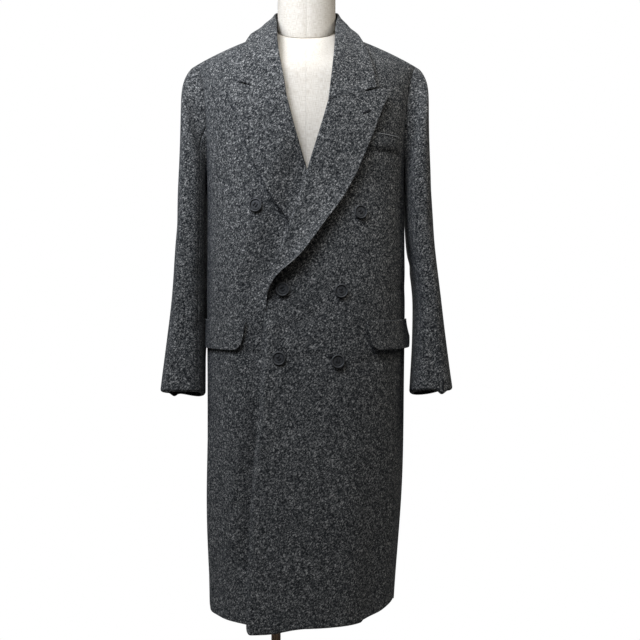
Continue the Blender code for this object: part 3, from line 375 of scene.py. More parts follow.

# Creases of the body: where the middle lies, how long and wide it is,
# how it leans (degrees from upright, positive to the wearer's left) and bends, and its depth
CREASES = table_of(
    "angle height length width lean bend depth",
    (-66, 0.520, 0.420, 0.020, 1, -0.10, 0.0095),
    (-18, 0.540, 0.400, 0.030, -3, 0.10, 0.0030),
    (14, 0.520, 0.330, 0.026, -3, 0.00, -0.0018),
    (40, 0.500, 0.360, 0.022, -4, 0.15, -0.0028),
    (57, 0.520, 0.420, 0.024, 2, 0.00, 0.0030),
    (0, 0.842, 0.110, 0.012, 88, 0.60, -0.0014),
    (-30, 0.852, 0.090, 0.011, 104, 0.50, -0.0016),
    (38, 0.835, 0.120, 0.014, 74, 0.40, -0.0016),
    (-4, 0.905, 0.130, 0.014, 62, 0.50, -0.0014),
    (22, 0.985, 0.130, 0.016, 38, 0.40, -0.0014),
    (50, 1.150, 0.150, 0.017, -52, 0.60, -0.0024),
    (60, 1.100, 0.120, 0.014, -40, 0.50, -0.0018),
    (-52, 1.165, 0.150, 0.018, 48, -0.60, -0.0020),
    (-60, 1.090, 0.130, 0.015, 36, -0.40, -0.0016),
    (-38, 1.010, 0.160, 0.024, -14, 0.00, 0.0014),
    (66, 0.965, 0.110, 0.018, 82, 0.30, -0.0016),
    (180, 1.385, 0.150, 0.012, 90, 0.70, -0.0016),
    (166, 1.240, 0.260, 0.026, 8, 0.20, 0.0024),
    (-162, 1.220, 0.280, 0.024, -10, -0.20, 0.0026),
    (180, 1.130, 0.300, 0.030, 0, 0.10, -0.0026),
    (140, 1.160, 0.180, 0.018, 44, 0.50, -0.0028),
    (-138, 1.150, 0.170, 0.019, -46, -0.50, -0.0026),
    (152, 0.985, 0.170, 0.016, 72, 0.40, -0.0022),
    (-158, 0.960, 0.190, 0.018, 108, 0.30, -0.0024),
    (-120, 0.940, 0.140, 0.017, 78, 0.30, -0.0018),
    (118, 0.955, 0.130, 0.018, 100, 0.40, -0.0018),
    (180, 0.600, 0.460, 0.028, 1, 0.05, -0.0040),
    (-172, 0.560, 0.400, 0.020, -2, 0.05, 0.0030),
    (112, 0.560, 0.440, 0.022, 3, 0.10, -0.0032),
    (-104, 0.540, 0.420, 0.022, -2, 0.10, -0.0030),
)
CREASE_RADIUS = 0.165    # makes an angle round the body into metres of cloth
YOKE_HEIGHT = 0.26       # height of cloth from the armpit to the shoulder seam

# Creases of the sleeves: turn round the section from its outer side, 90 being the front
SLEEVE_CREASES = table_of(
    "side turn height length width lean depth",
    (1, 128, 1.020, 0.085, 0.012, 66, -0.0014),
    (1, 118, 0.968, 0.075, 0.012, 58, -0.0014),
    (1, 140, 0.922, 0.080, 0.012, 70, -0.0014),
    (1, 62, 1.000, 0.330, 0.018, 2, 0.0012),
    (1, 96, 0.850, 0.120, 0.016, 14, -0.0010),
    (1, 48, 1.120, 0.120, 0.016, -24, -0.0020),
    (1, 262, 0.985, 0.095, 0.011, -62, -0.0028),
    (1, 284, 0.935, 0.080, 0.010, -54, -0.0024),
    (1, 312, 1.080, 0.200, 0.016, 4, 0.0022),
    (1, 190, 1.010, 0.110, 0.012, 78, -0.0018),
    (-1, 132, 1.000, 0.090, 0.012, 62, -0.0014),
    (-1, 116, 0.945, 0.070, 0.012, 70, -0.0012),
    (-1, 146, 0.905, 0.075, 0.012, 60, -0.0012),
    (-1, 70, 1.040, 0.300, 0.016, -3, 0.0016),
    (-1, 88, 0.860, 0.140, 0.012, 10, -0.0016),
    (-1, 40, 1.110, 0.140, 0.016, 20, -0.0018),
    (-1, 255, 1.005, 0.090, 0.011, -58, -0.0026),
    (-1, 290, 0.950, 0.085, 0.010, -66, -0.0026),
    (-1, 318, 1.060, 0.210, 0.015, -4, 0.0020),
    (-1, 186, 0.990, 0.100, 0.012, 80, -0.0016),
)
SLEEVE_RADIUS = 0.057    # makes a turn round the sleeve into metres of cloth

# Uneven drop of the cuffs' edges: turn and width round the section in degrees
CUFF_STEPS = table_of(
    "side turn width drop",
    (-1, 95, 75, 0.0030),
    (-1, -55, 10, 0.0060),
    (-1, -125, 45, 0.0070),
    (1, 66, 11, 0.0074),
    (1, 5, 28, -0.0045),
    (1, -45, 26, -0.0045),
    (1, -120, 42, 0.0040),
)

# Fineness of the meshes
SKIRT_ROWS = 190
YOKE_ROWS = 72
FRONT_COLUMNS = 92
BACK_SHOULDER_COLUMNS = 30
BACK_NECK_COLUMNS = 66
CAP_ROWS = 30
ARM_ROWS = 132
CUFF_ROLL_ROWS = 8
SEAM_STEP = 24           # sleeve seam, in yoke rows above the armpit
LAPEL_ROWS = 130
LAPEL_ROLL_COLUMNS = 17
LAPEL_FACE_COLUMNS = 44
CROWD = 0.6              # how much closer the columns lie at a panel's edges
COLLAR_STATIONS = 17
COLLAR_STAND = (0, 0.5)  # shares of the stand's height
COLLAR_ROLL_COLUMNS = 7
COLLAR_FALL_COLUMNS = 6
COLLAR_FINE = (201, 58)  # rows and columns after its curves are drawn through the stations
FLAP_ROWS = 30
FLAP_COLUMNS = 50
FLAP_CORNER_COLUMNS = 12
FLAP_WALK = 400          # steps in which the way round the body is measured
WELT_ROWS = 20
WELT_COLUMNS = 44
WELT_HIGHLIGHT_POINTS = 40
BUTTON_RIM_ROWS = 60
BUTTON_DISH_ROWS = 45
BUTTON_SIDES = 112
THREAD_POINTS = 21
THREAD_SIDES = 10
SLIT_POINTS = 25
FRONT_SLIT_GRID = 31
CUFF_SLIT_GRID = (41, 66)
TORSO_ROWS = 110
NECK_ROWS = 60
NECK_DOME_ROWS = 16
FORM_SIDES = 128
POLE_ROWS = 40
POLE_SIDES = 40
BASE_ROUND_ROWS = 12
BASE_ROWS = 24
DISC_SIDES = 128
DISC_SHARP = 35          # degrees from which an edge of a turned piece stays sharp
EDGE_PASSES = 12         # rounds in which a ring of the body finds the front edge
REST_TURN = 3            # degrees between the points of the body that the collar rests on
REST_FROM = 1.2          # their lowest level
REST_ROWS = 50
REST_PASSES = 3

# Make-up of the cloth edges
RIM = 0.0010             # rounding of a cut or turned edge
RIM_TURNS = np.radians((45, 90, 135))  # where its in-between lines lie
SEAM_DIP = 0.0009        # a sewn edge sinks this far
SEAM_REACH = 0.0045      # within this distance of the seam
SLEEVE_DIP = 0.4         # share of that along the sleeve seams, which are pressed open
ARMHOLE_DIP = 3.6        # and round the armholes,
ARMHOLE_SET_IN = (0.93, 1.0)  # levels between which this begins
ARMHOLE_EASED = (1.5, 1.9)  # and those between which it ends
ARMHOLE_TOP_DIP = 0.2    # at the shoulder, where the sleeve head is eased in
HEM_TURN = 0.045         # turned-up hem inside the skirt and cuffs
HEM_STEP = 0.004         # length over which it ends
HEM_EXTRA = 0.0014       # and the thickness it adds
FACING = 0.085           # tweed facing inside the front edges
HEM_CORNER = 0.011       # rounding of the lower front corners
EDGE_ROLL = 0.0060       # how far the over-front's edge rolls up below the break
EDGE_ROLL_REACH = 0.026
EDGE_ROLL_TOP = 0.70     # level of the break
EDGE_ROLL_EASE = 0.04    # levels below it over which the roll begins
EDGE_BEAD = -0.0046      # the pressed edge itself turns down
EDGE_BEAD_REACH = 0.0055
FRONT_WIDTH = 0.36       # of the cloth, for distances from its edges
BACK_WIDTH = 0.50

# Patterns of the finishes, in repeats for each metre
TWEED_FLECKS = 370.0     # flecks of about 2.7 mm
TWEED_YARNS = 720.0      # yarns of about 1.4 mm
TWEED_CLOUDS = 120.0     # uneven mixing, over about 8 mm
TWEED_YARN_SHARE = 0.30  # weight of the yarns against the flecks
TWEED_CLOUD_SHARE = 0.18  # and of the uneven mixing on top
TWEED_SLANT = np.radians(-45)  # the flecks lie along the twill
TWEED_DRAWN = (1.3, 1.0, 0.95)  # and are drawn out a little
LINEN_THREADS = 1100.0   # threads of 0.9 mm, coarser than real ones, which would not show
LINEN_SLUBS = 90.0       # slubs about 11 mm long
WOOD_GRAIN = (500.0, 9.0, 1.0)  # grain lines 2 mm apart and about 11 cm long
POWDER_PEEL = 900.0      # grains of about 1.1 mm
PLASTIC_CLOUDS = 160.0   # clouds of about 6 mm


# Curves and grids

def column(table, name):
    """One column of a table."""
    return np.array([getattr(row, name) for row in table])


def smooth(table, key, name, at):
    """Value of one table column at a key, on a smooth curve through the rows."""
    return smooth_curve(column(table, key), column(table, name), at)


def section(table, height):
    """The other columns of a table of cross-sections, at a height."""
    return [smooth(table, "height", name, height) for name in table[0]._fields[1:]]


def smooth_row(table, name, at):
    """Value of one table column at a row number, on a smooth curve through the rows."""
    return smooth_curve(np.arange(len(table)), column(table, name), at)


def smooth_curve(keys, values, at):
    """Cubic Hermite curve through numbers, or rows of numbers, with slopes from the neighbours."""
    slopes = np.gradient(values, keys, axis=0)
    at = np.clip(np.asarray(at, float), keys[0], keys[-1])
    i = np.clip(np.searchsorted(keys, at) - 1, 0, len(keys) - 2)
    shape = at.shape + (1,) * (values.ndim - 1)
    span = (keys[i + 1] - keys[i]).reshape(shape)
    t = (at - keys[i]).reshape(shape) / span
    rise = t * t * (3 - 2 * t)
    leave = t * (1 - t) ** 2 * span * slopes[i]
    arrive = t * t * (t - 1) * span * slopes[i + 1]
    return values[i] * (1 - rise) + values[i + 1] * rise + leave + arrive


def ease(low, high, at):
    """0 below low, 1 above high, and a soft step between."""
    t = np.clip((np.asarray(at, float) - low) / (high - low), 0, 1)
    return t * t * (3 - 2 * t)


def full_turn(count):
    """Angles of even steps once round."""
    return np.linspace(0, 2 * np.pi, count, endpoint=False)


def wrapped(angle):
    """Angle brought to within half a turn of zero."""
    return (angle + np.pi) % (2 * np.pi) - np.pi


def squared(turn, power):
    """Sine and cosine of a turn, carried out to a ring that is squarer than a circle (power 2)."""
    sine, cosine = np.sin(turn), np.cos(turn)
    size = (np.abs(sine) ** power + np.abs(cosine) ** power) ** (-1 / power)
    return sine * size, cosine * size


def unit(vector):
    """Vectors scaled to length 1."""
    return vector / np.linalg.norm(vector, axis=-1, keepdims=True)


def grid_normal(grid):
    """Unit normal of a grid of points, across its columns and rows."""
    return unit(np.cross(np.gradient(grid, axis=1), np.gradient(grid, axis=0)))


def spread(count):
    """Shares from 0 to 1 that lie closer together towards both ends."""
    even = np.linspace(0, 1, count)
    return even - CROWD * np.sin(2 * np.pi * even) / (2 * np.pi)


def refine(points, count, axis):
    """Points carried on smooth curves through a coarse grid, along one axis."""
    rows = np.moveaxis(points, axis, 0)
    fine = smooth_curve(np.arange(len(rows)), rows, np.linspace(0, len(rows) - 1, count))
    return np.moveaxis(fine, 0, axis)


def walked(points, axis):
    """Length of cloth from the first row or column of a grid to each point."""
    step = np.linalg.norm(np.diff(points, axis=axis), axis=-1)
    start = np.zeros_like(np.take(step, [0], axis=axis))
    return np.concatenate((start, np.cumsum(step, axis=axis)), axis=axis)


# Coat body

def ridge(x):
    """Height of the shoulder ridge at x."""
    out = np.sqrt((x - NECK_X) ** 2 + RIDGE_SOFT ** 2) - NECK_HALF
    slope = np.where(out < 0, NECK_SLOPE, SHOULDER_SLOPE)
    return NECK_Z - slope * out - SHOULDER_DROOP * np.maximum(out, 0) ** 2


def height_at(level):
    """Height of a level between hem and armpit."""
    return HEM_Z + SKIRT_HEIGHT * level


def frame_at(level):
    """Height, climb, half width, front and back depth, middle and power of the ring at a level.

    Above the armpit the climb goes from 0 to 1, and the rings close in to the shoulder ridge with it.
    """
    level = np.asarray(level, float)
    height = height_at(np.minimum(level, 1))
    half, front, back, middle, power = section(RINGS, height)
    climb = 1 - (1 - np.clip(level - 1, 0, 1)) ** 2
    half = half + (SHOULDER_HALF - half) * climb ** 2
    front = front * (1 - climb ** FRONT_CURL) ** (1 / FRONT_CURL)
    back = back * (1 - climb ** BACK_CURL) ** (1 / BACK_CURL)
    middle = middle + (SHOULDER_X - middle) * climb
    return height, climb, half, front, back, middle, power


def body_base(angle, level):
    """Point of the smooth coat body, without folds."""
    height, climb, half, front, back, middle, power = frame_at(level)
    aside, ahead = squared(angle, power)
    x = middle + half * aside
    y = RIDGE_Y * climb ** 2 - np.where(ahead > 0, front, back) * ahead
    z = height + (ridge(x) - ARMPIT_Z) * climb
    return np.stack(np.broadcast_arrays(x, y, z), axis=-1)


def body_normal(angle, level):
    """Outward normal of the smooth coat body, kept clear of the ends of the shoulder ridge."""
    near_ridge = ease(RIDGE_PULL_FROM, 2, level) * RIDGE_PULL
    turn = wrapped(angle)
    side = np.where(turn < 0, -1, 1)
    turn = np.abs(turn)
    front = turn < np.pi / 2
    turn = np.where(front, turn * (1 - near_ridge), np.pi - (np.pi - turn) * (1 - near_ridge))
    angle = side * turn
    level = np.minimum(level, 2 - 3 * NORMAL_STEP)
    across = body_base(angle + NORMAL_STEP, level) - body_base(angle - NORMAL_STEP, level)
    up = body_base(angle, level + NORMAL_STEP) - body_base(angle, level - NORMAL_STEP)
    return unit(np.cross(across, up))


def fold_lift(angle, level):
    """Sum of the soft vertical folds: each a bell across its angle, deepest at the hem."""
    total = np.zeros(np.broadcast(angle, level).shape)
    for fold in FOLDS:
        turn = np.degrees(wrapped(angle - np.radians(fold.angle)))
        fading = 1 - ease(HEM_Z, fold.top, height_at(level))
        total = total + fold.depth * np.exp(-(turn / fold.width) ** 2) * fading
    return total


def crease_lift(angle, level):
    """Sum of the listed creases: each a soft bell across its line, fading to its ends."""
    up_the_cloth = np.where(level < 1, height_at(level), ARMPIT_Z + YOKE_HEIGHT * (level - 1))
    total = np.zeros(np.broadcast(angle, level).shape)
    for crease in CREASES:
        aside = wrapped(angle - np.radians(crease.angle)) * CREASE_RADIUS
        total = total + bell(aside, up_the_cloth - crease.height, crease, crease.bend)
    return total


def bell(aside, up, crease, bend):
    """Depth of one crease at a distance aside and up from its middle."""
    lean = np.radians(crease.lean)
    along = up * np.cos(lean) + aside * np.sin(lean)
    across = aside * np.cos(lean) - up * np.sin(lean) - bend * along ** 2
    return crease.depth * np.exp(-(across / crease.width) ** 2 - (2 * along / crease.length) ** 2)


def body(angle, level, lift=0.0):
    """Point of the coat body with its folds and creases, moved out by lift."""
    angle, level = np.broadcast_arrays(np.asarray(angle, float), np.asarray(level, float))
    out = fold_lift(angle, level) + crease_lift(angle, level) + lift
    return body_base(angle, level) + body_normal(angle, level) * out[..., None]


def level_at(x, z):
    """Level of the front point seen at x and z."""
    climb = np.clip((z - ARMPIT_Z) / (ridge(x) - ARMPIT_Z), 0, 1)
    return np.where(z < ARMPIT_Z, (z - HEM_Z) / SKIRT_HEIGHT, 2 - np.sqrt(1 - climb))


def angle_at(x, level):
    """Angle on the front half at which the ring passes x."""
    _, _, half, _, _, middle, power = frame_at(level)
    across = np.clip((x - middle) / half, -1, 1)
    return np.arctan2(across, (1 - np.abs(across) ** power) ** (1 / power))


def on_front(x, z, lift=0.0):
    """Point of the coat's front seen at x and z, moved out by lift."""
    x, z = np.broadcast_arrays(np.asarray(x, float), np.asarray(z, float))
    level = level_at(x, z)
    return body(angle_at(x, level), level, lift)


def edge_x(z):
    """Front edge and roll line of the over-front."""
    return smooth(FRONT_EDGE, "height", "x", z)


def middle_x(z):
    """Middle line of the fronts and collar."""
    return MID_X + (NECK_X - MID_X) * ease(TWIST_LOW, TWIST_HIGH, z)


def mirrored(x, z, side):
    """The over-front's x, or its mirror for the under-front."""
    return x if side > 0 else 2 * middle_x(z) - x


def edge_on_level(level, side=1):
    """Where a ring of the body meets the over-front's edge, or its mirror image."""
    height = height_at(np.minimum(level, 1))
    edge = mirrored(edge_x(height), height, side)
    for _ in range(EDGE_PASSES):
        height = body_base(angle_at(edge, level), level)[..., 2]
        edge = mirrored(edge_x(height), height, side)
    return edge


def under_sink(x, z):
    """How far the under-front lies off the coat body's surface: a flat lap, and a trough in the skirt."""
    edge = edge_x(z)
    depth = LAP_SINK + (LAPEL_SINK - LAP_SINK) * ease(*LAPEL_SINK_RISE, z)
    down = ease(edge - SINK_MARGIN - SINK_EASE, edge - SINK_MARGIN, x) * (1 - ease(*SINK_FADE, z))
    share = ease(*TROUGH_RISE, z) * (1 - TROUGH_LOSS * ease(*TROUGH_THIN, z)) * (1 - ease(*TROUGH_FADE, z))
    return -depth * down - TROUGH * share * ease(edge - TROUGH_WIDTH, edge - TROUGH_OUT, x)


def armhole(rise, side):
    """Angle of the front (+1) or back (-1) armhole edge at a rise above the armpit."""
    swing = ARMHOLE_FRONT if side > 0 else ARMHOLE_BACK
    return np.pi / 2 - side * swing * np.sqrt(4 * rise * (1 - rise))


def armhole_depth(level):
    """How many times deeper than others the armhole's seam lies, most where the sleeve is set in."""
    set_in = 1 + (ARMHOLE_DIP - 1) * ease(*ARMHOLE_SET_IN, level)
    return set_in + (ARMHOLE_TOP_DIP - set_in) * ease(*ARMHOLE_EASED, level)


def seam_dip(distance):
    """How far the cloth sinks beside a seam."""
    return -SEAM_DIP * np.exp(-(distance / SEAM_REACH) ** 2)


def hem_extra(above):
    """Thickness that the turned-up hem adds, at a distance above the edge."""
    return HEM_EXTRA * (1 - ease(HEM_TURN - HEM_STEP, HEM_TURN, above))


def rest_on_body(points, least):
    """Points moved out of the coat's shoulders and chest until they clear them by least."""
    turns = np.radians(np.arange(0, 360, REST_TURN))
    angle, level = np.meshgrid(turns, np.linspace(REST_FROM, 2, REST_ROWS))
    ground = body(angle, level).reshape(-1, 3)
    facing = body_normal(angle, level).reshape(-1, 3)
    flat = points.reshape(-1, 3)
    for _ in range(REST_PASSES):
        away = np.linalg.norm(flat[:, None] - ground[None], axis=-1)
        nearest = away.argmin(axis=1)
        above = np.sum((flat - ground[nearest]) * facing[nearest], axis=-1)
        flat = flat + facing[nearest] * np.maximum(least - above, 0)[:, None]
    return flat.reshape(points.shape)


# Meshes

def make_piece(name, points, faces, finishes, finish_of_face=None, caps=(), sharp=180):
    """Object from arrays of points and of four-sided faces, with the caps of its ends."""
    mesh = bpy.data.meshes.new(name)
    mesh.from_pydata(points.tolist(), [], faces.tolist() + list(caps))
    for finish in finishes:
        mesh.materials.append(finish)
    if finish_of_face is not None:
        mesh.polygons.foreach_set("material_index", finish_of_face)
    mesh.polygons.foreach_set("use_smooth", np.ones(len(mesh.polygons), bool))
    if sharp < 180:
        mesh.set_sharp_from_angle(angle=np.radians(sharp))
    mesh.update()
    thing = bpy.data.objects.new(name, mesh)
    bpy.context.scene.collection.objects.link(thing)
    return thing


def quads(index):
    """Four-sided faces between the neighbours of a grid of point numbers."""
    corners = (index[:-1, :-1], index[:-1, 1:], index[1:, 1:], index[1:, :-1])
    return np.stack(corners, axis=-1).reshape(-1, 4)


def border(grid):
    """The points along the edge of a grid, once round."""
    return np.concatenate((grid[0, :-1], grid[:-1, -1], grid[-1, :0:-1], grid[:0:-1, 0]))


def leaving(grid, sewn):
    """Unit direction off the cloth at the free edge points of a grid, zero inside and on sewn edges."""
    across, up = np.gradient(grid, axis=1), np.gradient(grid, axis=0)
    out = np.zeros_like(grid)
    if "start" not in sewn:
        out[:, 0] -= unit(across[:, 0])
    if "end" not in sewn:
        out[:, -1] += unit(across[:, -1])
    if "first" not in sewn:
        out[0] -= unit(up[0])
    if "last" not in sewn:
        out[-1] += unit(up[-1])
    length = np.linalg.norm(out, axis=-1, keepdims=True)
    return out / np.where(length > 0, length, 1)


def cloth_wall(name, outer, inner, finishes, sewn, lined=None):
    """Cloth between an outer and an inner grid, with a half-round rim along its free edges.

    The rim runs from the outer edge through three in-between lines to the inner edge:
    middle + half thickness * cos(t) + way off the cloth * RIM * sin(t).  The first and last
    row and the start and end column are its edges; those named as sewn have no rim.
    """
    off = leaving(outer, sewn)
    outer, inner = outer - off * RIM, inner - off * RIM
    count = outer[..., 0].size
    index = np.arange(count).reshape(outer.shape[:2])
    middle, half = (border(outer) + border(inner)) / 2, (border(outer) - border(inner)) / 2
    lines = [middle + half * np.cos(t) + border(off) * RIM * np.sin(t) for t in RIM_TURNS]
    points = np.concatenate([outer.reshape(-1, 3), inner.reshape(-1, 3)] + lines)
    edge = border(index)
    between = [2 * count + len(edge) * k + np.arange(len(edge)) for k in range(len(lines))]
    rings = [edge] + between + [edge + count]
    strips = [np.stack((np.roll(a, -1), a, b, np.roll(b, -1)), axis=-1)
              for a, b in zip(rings[:-1], rings[1:])]
    walls = quads(index)
    faces = np.concatenate([walls, walls[:, ::-1] + count] + strips)
    facing = np.cross(points[walls[:, 2]] - points[walls[:, 0]], points[walls[:, 3]] - points[walls[:, 1]])
    if np.sum(facing * (outer - inner)[:-1, :-1].reshape(-1, 3)) < 0:
        faces = faces[:, ::-1]
    finish_of_face = np.zeros(len(faces), int)
    if lined is not None:
        finish_of_face[len(walls):2 * len(walls)] = lined[:-1, :-1].ravel()
    return make_piece(name, points, faces, finishes, finish_of_face)


def rings_piece(name, solids, finish, sharp=180):
    """Solids through rings of points from one end to the other, each closed by a flat cap at both ends."""
    faces, caps, total = [], [], 0
    for rings in solids:
        index = np.arange(rings[..., 0].size).reshape(rings.shape[:2]) + total
        faces.append(quads(np.concatenate((index, index[:, :1]), axis=1)))
        caps += [index[0, ::-1].tolist(), index[-1].tolist()]
        total += index.size
    points = np.concatenate([rings.reshape(-1, 3) for rings in solids])
    return make_piece(name, points, np.concatenate(faces), [finish], caps=caps, sharp=sharp)


def laid_out(piece, rings, around):
    """A piece through rings, with its walls laid out flat in metres, so far round, as the UV map "cut"."""
    rows, sides = rings.shape[:2]
    across = np.broadcast_to(np.arange(sides + 1) * around / sides, (rows, sides + 1))
    along = walked(rings, 0)
    flat = np.stack((across, np.concatenate((along, along[:, :1]), axis=1)), axis=-1).reshape(-1, 2)
    corners = flat[quads(np.arange(len(flat)).reshape(rows, sides + 1))].reshape(-1, 2)
    layout = np.zeros((len(piece.data.loops), 2))
    layout[:len(corners)] = corners
    piece.data.uv_layers.new(name="cut").data.foreach_set("uv", layout.ravel())
    return piece


def tubes(name, paths, radius, up, finish):
    """Round threads: a circle carried along each path, which lies across the direction up."""
    turn = -full_turn(THREAD_SIDES)[:, None]
    solids = []
    for path in paths:
        ahead = unit(np.gradient(path, axis=0))
        aside = unit(np.cross(ahead, up))
        over = np.cross(aside, ahead)
        circle = np.cos(turn) * aside[:, None] + np.sin(turn) * over[:, None]
        solids.append(path[:, None] + radius * circle)
    return rings_piece(name, solids, finish)


# Panels of the coat

def body_levels():
    """Levels of the rows, hem to shoulder seam, close together at both ends of the armhole."""
    skirt = np.linspace(0, 1, SKIRT_ROWS, endpoint=False)
    yoke = 1 + np.sin(np.linspace(0, np.pi / 2, YOKE_ROWS + 1)) ** 2
    return np.concatenate((skirt, yoke))[:, None]


def panel_layers(angle, level, lift, above_hem):
    """Outer and inner points of a body panel, which is thicker where its hem is turned up."""
    return body(angle, level, lift), body(angle, level, lift - WALL - hem_extra(above_hem))


def make_front(name, side, finishes):
    """One front, from its edge or roll line to the side seam and armhole."""
    share = spread(FRONT_COLUMNS)
    step = body_levels()
    start = angle_at(edge_on_level(step, side), step) * side
    end = armhole(np.clip(step - 1, 0, 1), 1) - SEAM / 2 / SHOULDER_HALF
    angle = side * (start + (end - start) * share)
    from_edge = share * FRONT_WIDTH
    drop = smooth(HEM, "share", "over_front" if side > 0 else "under_front", share)
    corner = np.clip(1 - from_edge / HEM_CORNER, 0, 1)
    drop = drop - HEM_CORNER * (1 - np.sqrt(1 - corner ** 2))
    level = step - drop / SKIRT_HEIGHT * (1 - ease(0, HEM_REACH, step))
    lift = seam_dip((1 - share) * FRONT_WIDTH) * armhole_depth(step)
    if side < 0:
        at = body_base(angle, level)
        lift = lift + under_sink(at[..., 0], at[..., 2])
    else:
        below_break = 1 - ease(EDGE_ROLL_TOP - EDGE_ROLL_EASE, EDGE_ROLL_TOP, step)
        roll = EDGE_ROLL * np.exp(-(from_edge / EDGE_ROLL_REACH) ** 2)
        bead = EDGE_BEAD * np.exp(-(from_edge / EDGE_BEAD_REACH) ** 2)
        lift = lift + (roll + bead) * below_break
    above_hem = step * SKIRT_HEIGHT + 0 * share
    outer, inner = panel_layers(angle, level, lift, above_hem)
    for layer in (outer, inner):
        layer[-1, :, 1] -= SEAM / 2
    lined = (above_hem > HEM_TURN) & (from_edge > FACING)
    return cloth_wall(name, outer, inner, finishes, ("end", "last"), lined)


def neckline_x():
    """Columns of the back at the top: shoulder, neck, shoulder."""
    left = np.linspace(SHOULDER_X + SHOULDER_HALF, NECK_X + NECKLINE_HALF, BACK_SHOULDER_COLUMNS + 1)
    neck = np.linspace(NECKLINE_HALF, -NECKLINE_HALF, BACK_NECK_COLUMNS + 1) + NECK_X
    right = np.linspace(NECK_X - NECKLINE_HALF, SHOULDER_X - SHOULDER_HALF, BACK_SHOULDER_COLUMNS + 1)
    return np.concatenate((left[:-1], neck, right[1:]))


def neckline_rise(x):
    """Level above the armpit of the back neckline: lowest in the middle."""
    out = np.minimum(np.abs(x - NECK_X) / NECKLINE_HALF, 1)
    return NECKLINE_RISE + (1 - NECKLINE_RISE) * out ** NECKLINE_POWER


def make_back(name, finishes):
    """The back, from side seam to side seam, with the neckline cut out of its top."""
    top_x = neckline_x()
    share = np.linspace(0, 1, len(top_x))
    step = body_levels()
    rise = np.clip(step - 1, 0, 1)
    level = np.where(step > 1, 1 + neckline_rise(top_x) * rise, step + 0 * top_x)
    on_top = (np.pi / 2 - angle_at(top_x, 1 + neckline_rise(top_x))) / np.pi
    placed = share + (on_top - share) * rise ** 2
    end = armhole(rise, -1) + SEAM / 2 / SHOULDER_HALF
    angle = end + (2 * np.pi - 2 * end) * placed
    lift = seam_dip(np.minimum(share, 1 - share) * BACK_WIDTH) * armhole_depth(step)
    above_hem = step * SKIRT_HEIGHT + 0 * share
    outer, inner = panel_layers(angle, level, lift, above_hem)
    for layer in (outer, inner):
        layer[-1, level[-1] > ON_RIDGE, 1] += SEAM / 2
    return cloth_wall(name, outer, inner, finishes, ("start", "end", "last"), above_hem > HEM_TURN)


# Sleeves

def sleeve_ring(side, height, turn):
    """Points of the flattened sleeve sections, pitched forward towards the cuff and turned in a little."""
    table = SLEEVES[side][::-1]
    inner, outer, middle, depth = section(table, height)
    ahead, out = squared(turn, SLEEVE_POWER)
    x = (inner + outer) / 2 + (outer - inner) / 2 * out
    y = -depth * ahead
    low, high = TURN_IN
    share = ease(low, low + TURN_IN_EASE, height) * (1 - ease(high - TURN_IN_EASE, high, height))
    x = x - SLEEVE_TURN_IN[side] * np.maximum(y, 0) * share
    pitch = CUFF_TILT * (1 - ease(table[0].height, CUFF_TILT_TOP, height))
    return np.stack(np.broadcast_arrays(x, middle + y, height - pitch * y), axis=-1)


def sleeve_grid(side):
    """Rows from the armhole to the cuff, columns round the sleeve; their turn and the armhole's normals.

    The sleeve head is a Bezier curve in each column, from the armhole to the arm's first ring.
    """
    rises = np.sin(np.linspace(0, np.pi / 2, YOKE_ROWS + 1)) ** 2
    turn = np.pi * np.concatenate((1 - rises[::-1], 1 + rises[1:-1]))
    angle = side * np.concatenate((armhole(rises[::-1], 1), armhole(rises[1:-1], -1)))
    level = 1 + np.concatenate((rises[::-1], rises[1:-1]))
    hole, facing = body(angle, level), body_normal(angle, level)
    hole[:, 0] *= side
    facing[:, 0] *= side
    high, low = SLEEVES[side][0].height, SLEEVES[side][-1].height
    edge = low + CUFF_ROLL * (1 - np.sin(np.linspace(0, np.pi / 2, CUFF_ROLL_ROWS)))
    height = np.concatenate((np.linspace(high, low + CUFF_ROLL, ARM_ROWS)[:-1], edge))[:, None]
    arm = sleeve_ring(side, height, turn)
    arm[..., 2] += CAP_TILT * np.cos(turn) * ease(CAP_TILT_LOW, high, height)
    over = (1 + np.cos(turn)) / 2
    sideways = CAP_SIDEWAYS + (1 - CAP_SIDEWAYS) * over
    leave = unit(np.stack((sideways, -CAP_FORWARD * np.sin(turn), -1 + (1 - CAP_SLOPE) * over), axis=-1))
    reach = np.linalg.norm((arm[0] - hole)[:, :2], axis=-1)
    fall = hole[:, 2] - arm[0, :, 2]
    handle = hole + leave * (CAP_LEAVE * reach / np.hypot(leave[:, 0], leave[:, 1]))[:, None]
    rising = arm[0] - arm[1]
    target = arm[0] + rising / rising[:, 2:] * (CAP_ARRIVE * fall)[:, None]
    t = np.linspace(0, 1, CAP_ROWS)[:-1, None, None]
    cap = hole * (1 - t) ** 3 + 3 * handle * t * (1 - t) ** 2
    cap = cap + 3 * target * t ** 2 * (1 - t) + arm[0] * t ** 3
    grid = np.concatenate((cap, arm))
    dip = armhole_depth(level) * seam_dip(walked(grid, 0))
    return grid + facing * dip[..., None], turn, facing


def sleeve_creases(side, turn, height):
    """Sum of one sleeve's listed creases, bells as on the body."""
    total = np.zeros(height.shape)
    for crease in SLEEVE_CREASES:
        if crease.side == side:
            aside = wrapped(turn - np.radians(crease.turn)) * SLEEVE_RADIUS
            total = total + bell(aside, height - crease.height, crease, 0)
    return total


def cuff_drop(side, turn, from_cuff):
    """How far the uneven cuff edge hangs down: a bell for each step, fading up the sleeve."""
    total = np.zeros(from_cuff.shape)
    for step in CUFF_STEPS:
        if step.side == side:
            swing = wrapped(turn - np.radians(step.turn))
            total = total + step.drop * np.exp(-(swing / np.radians(step.width)) ** 2)
    return total * (1 - ease(0, CUFF_STEP_REACH, from_cuff))


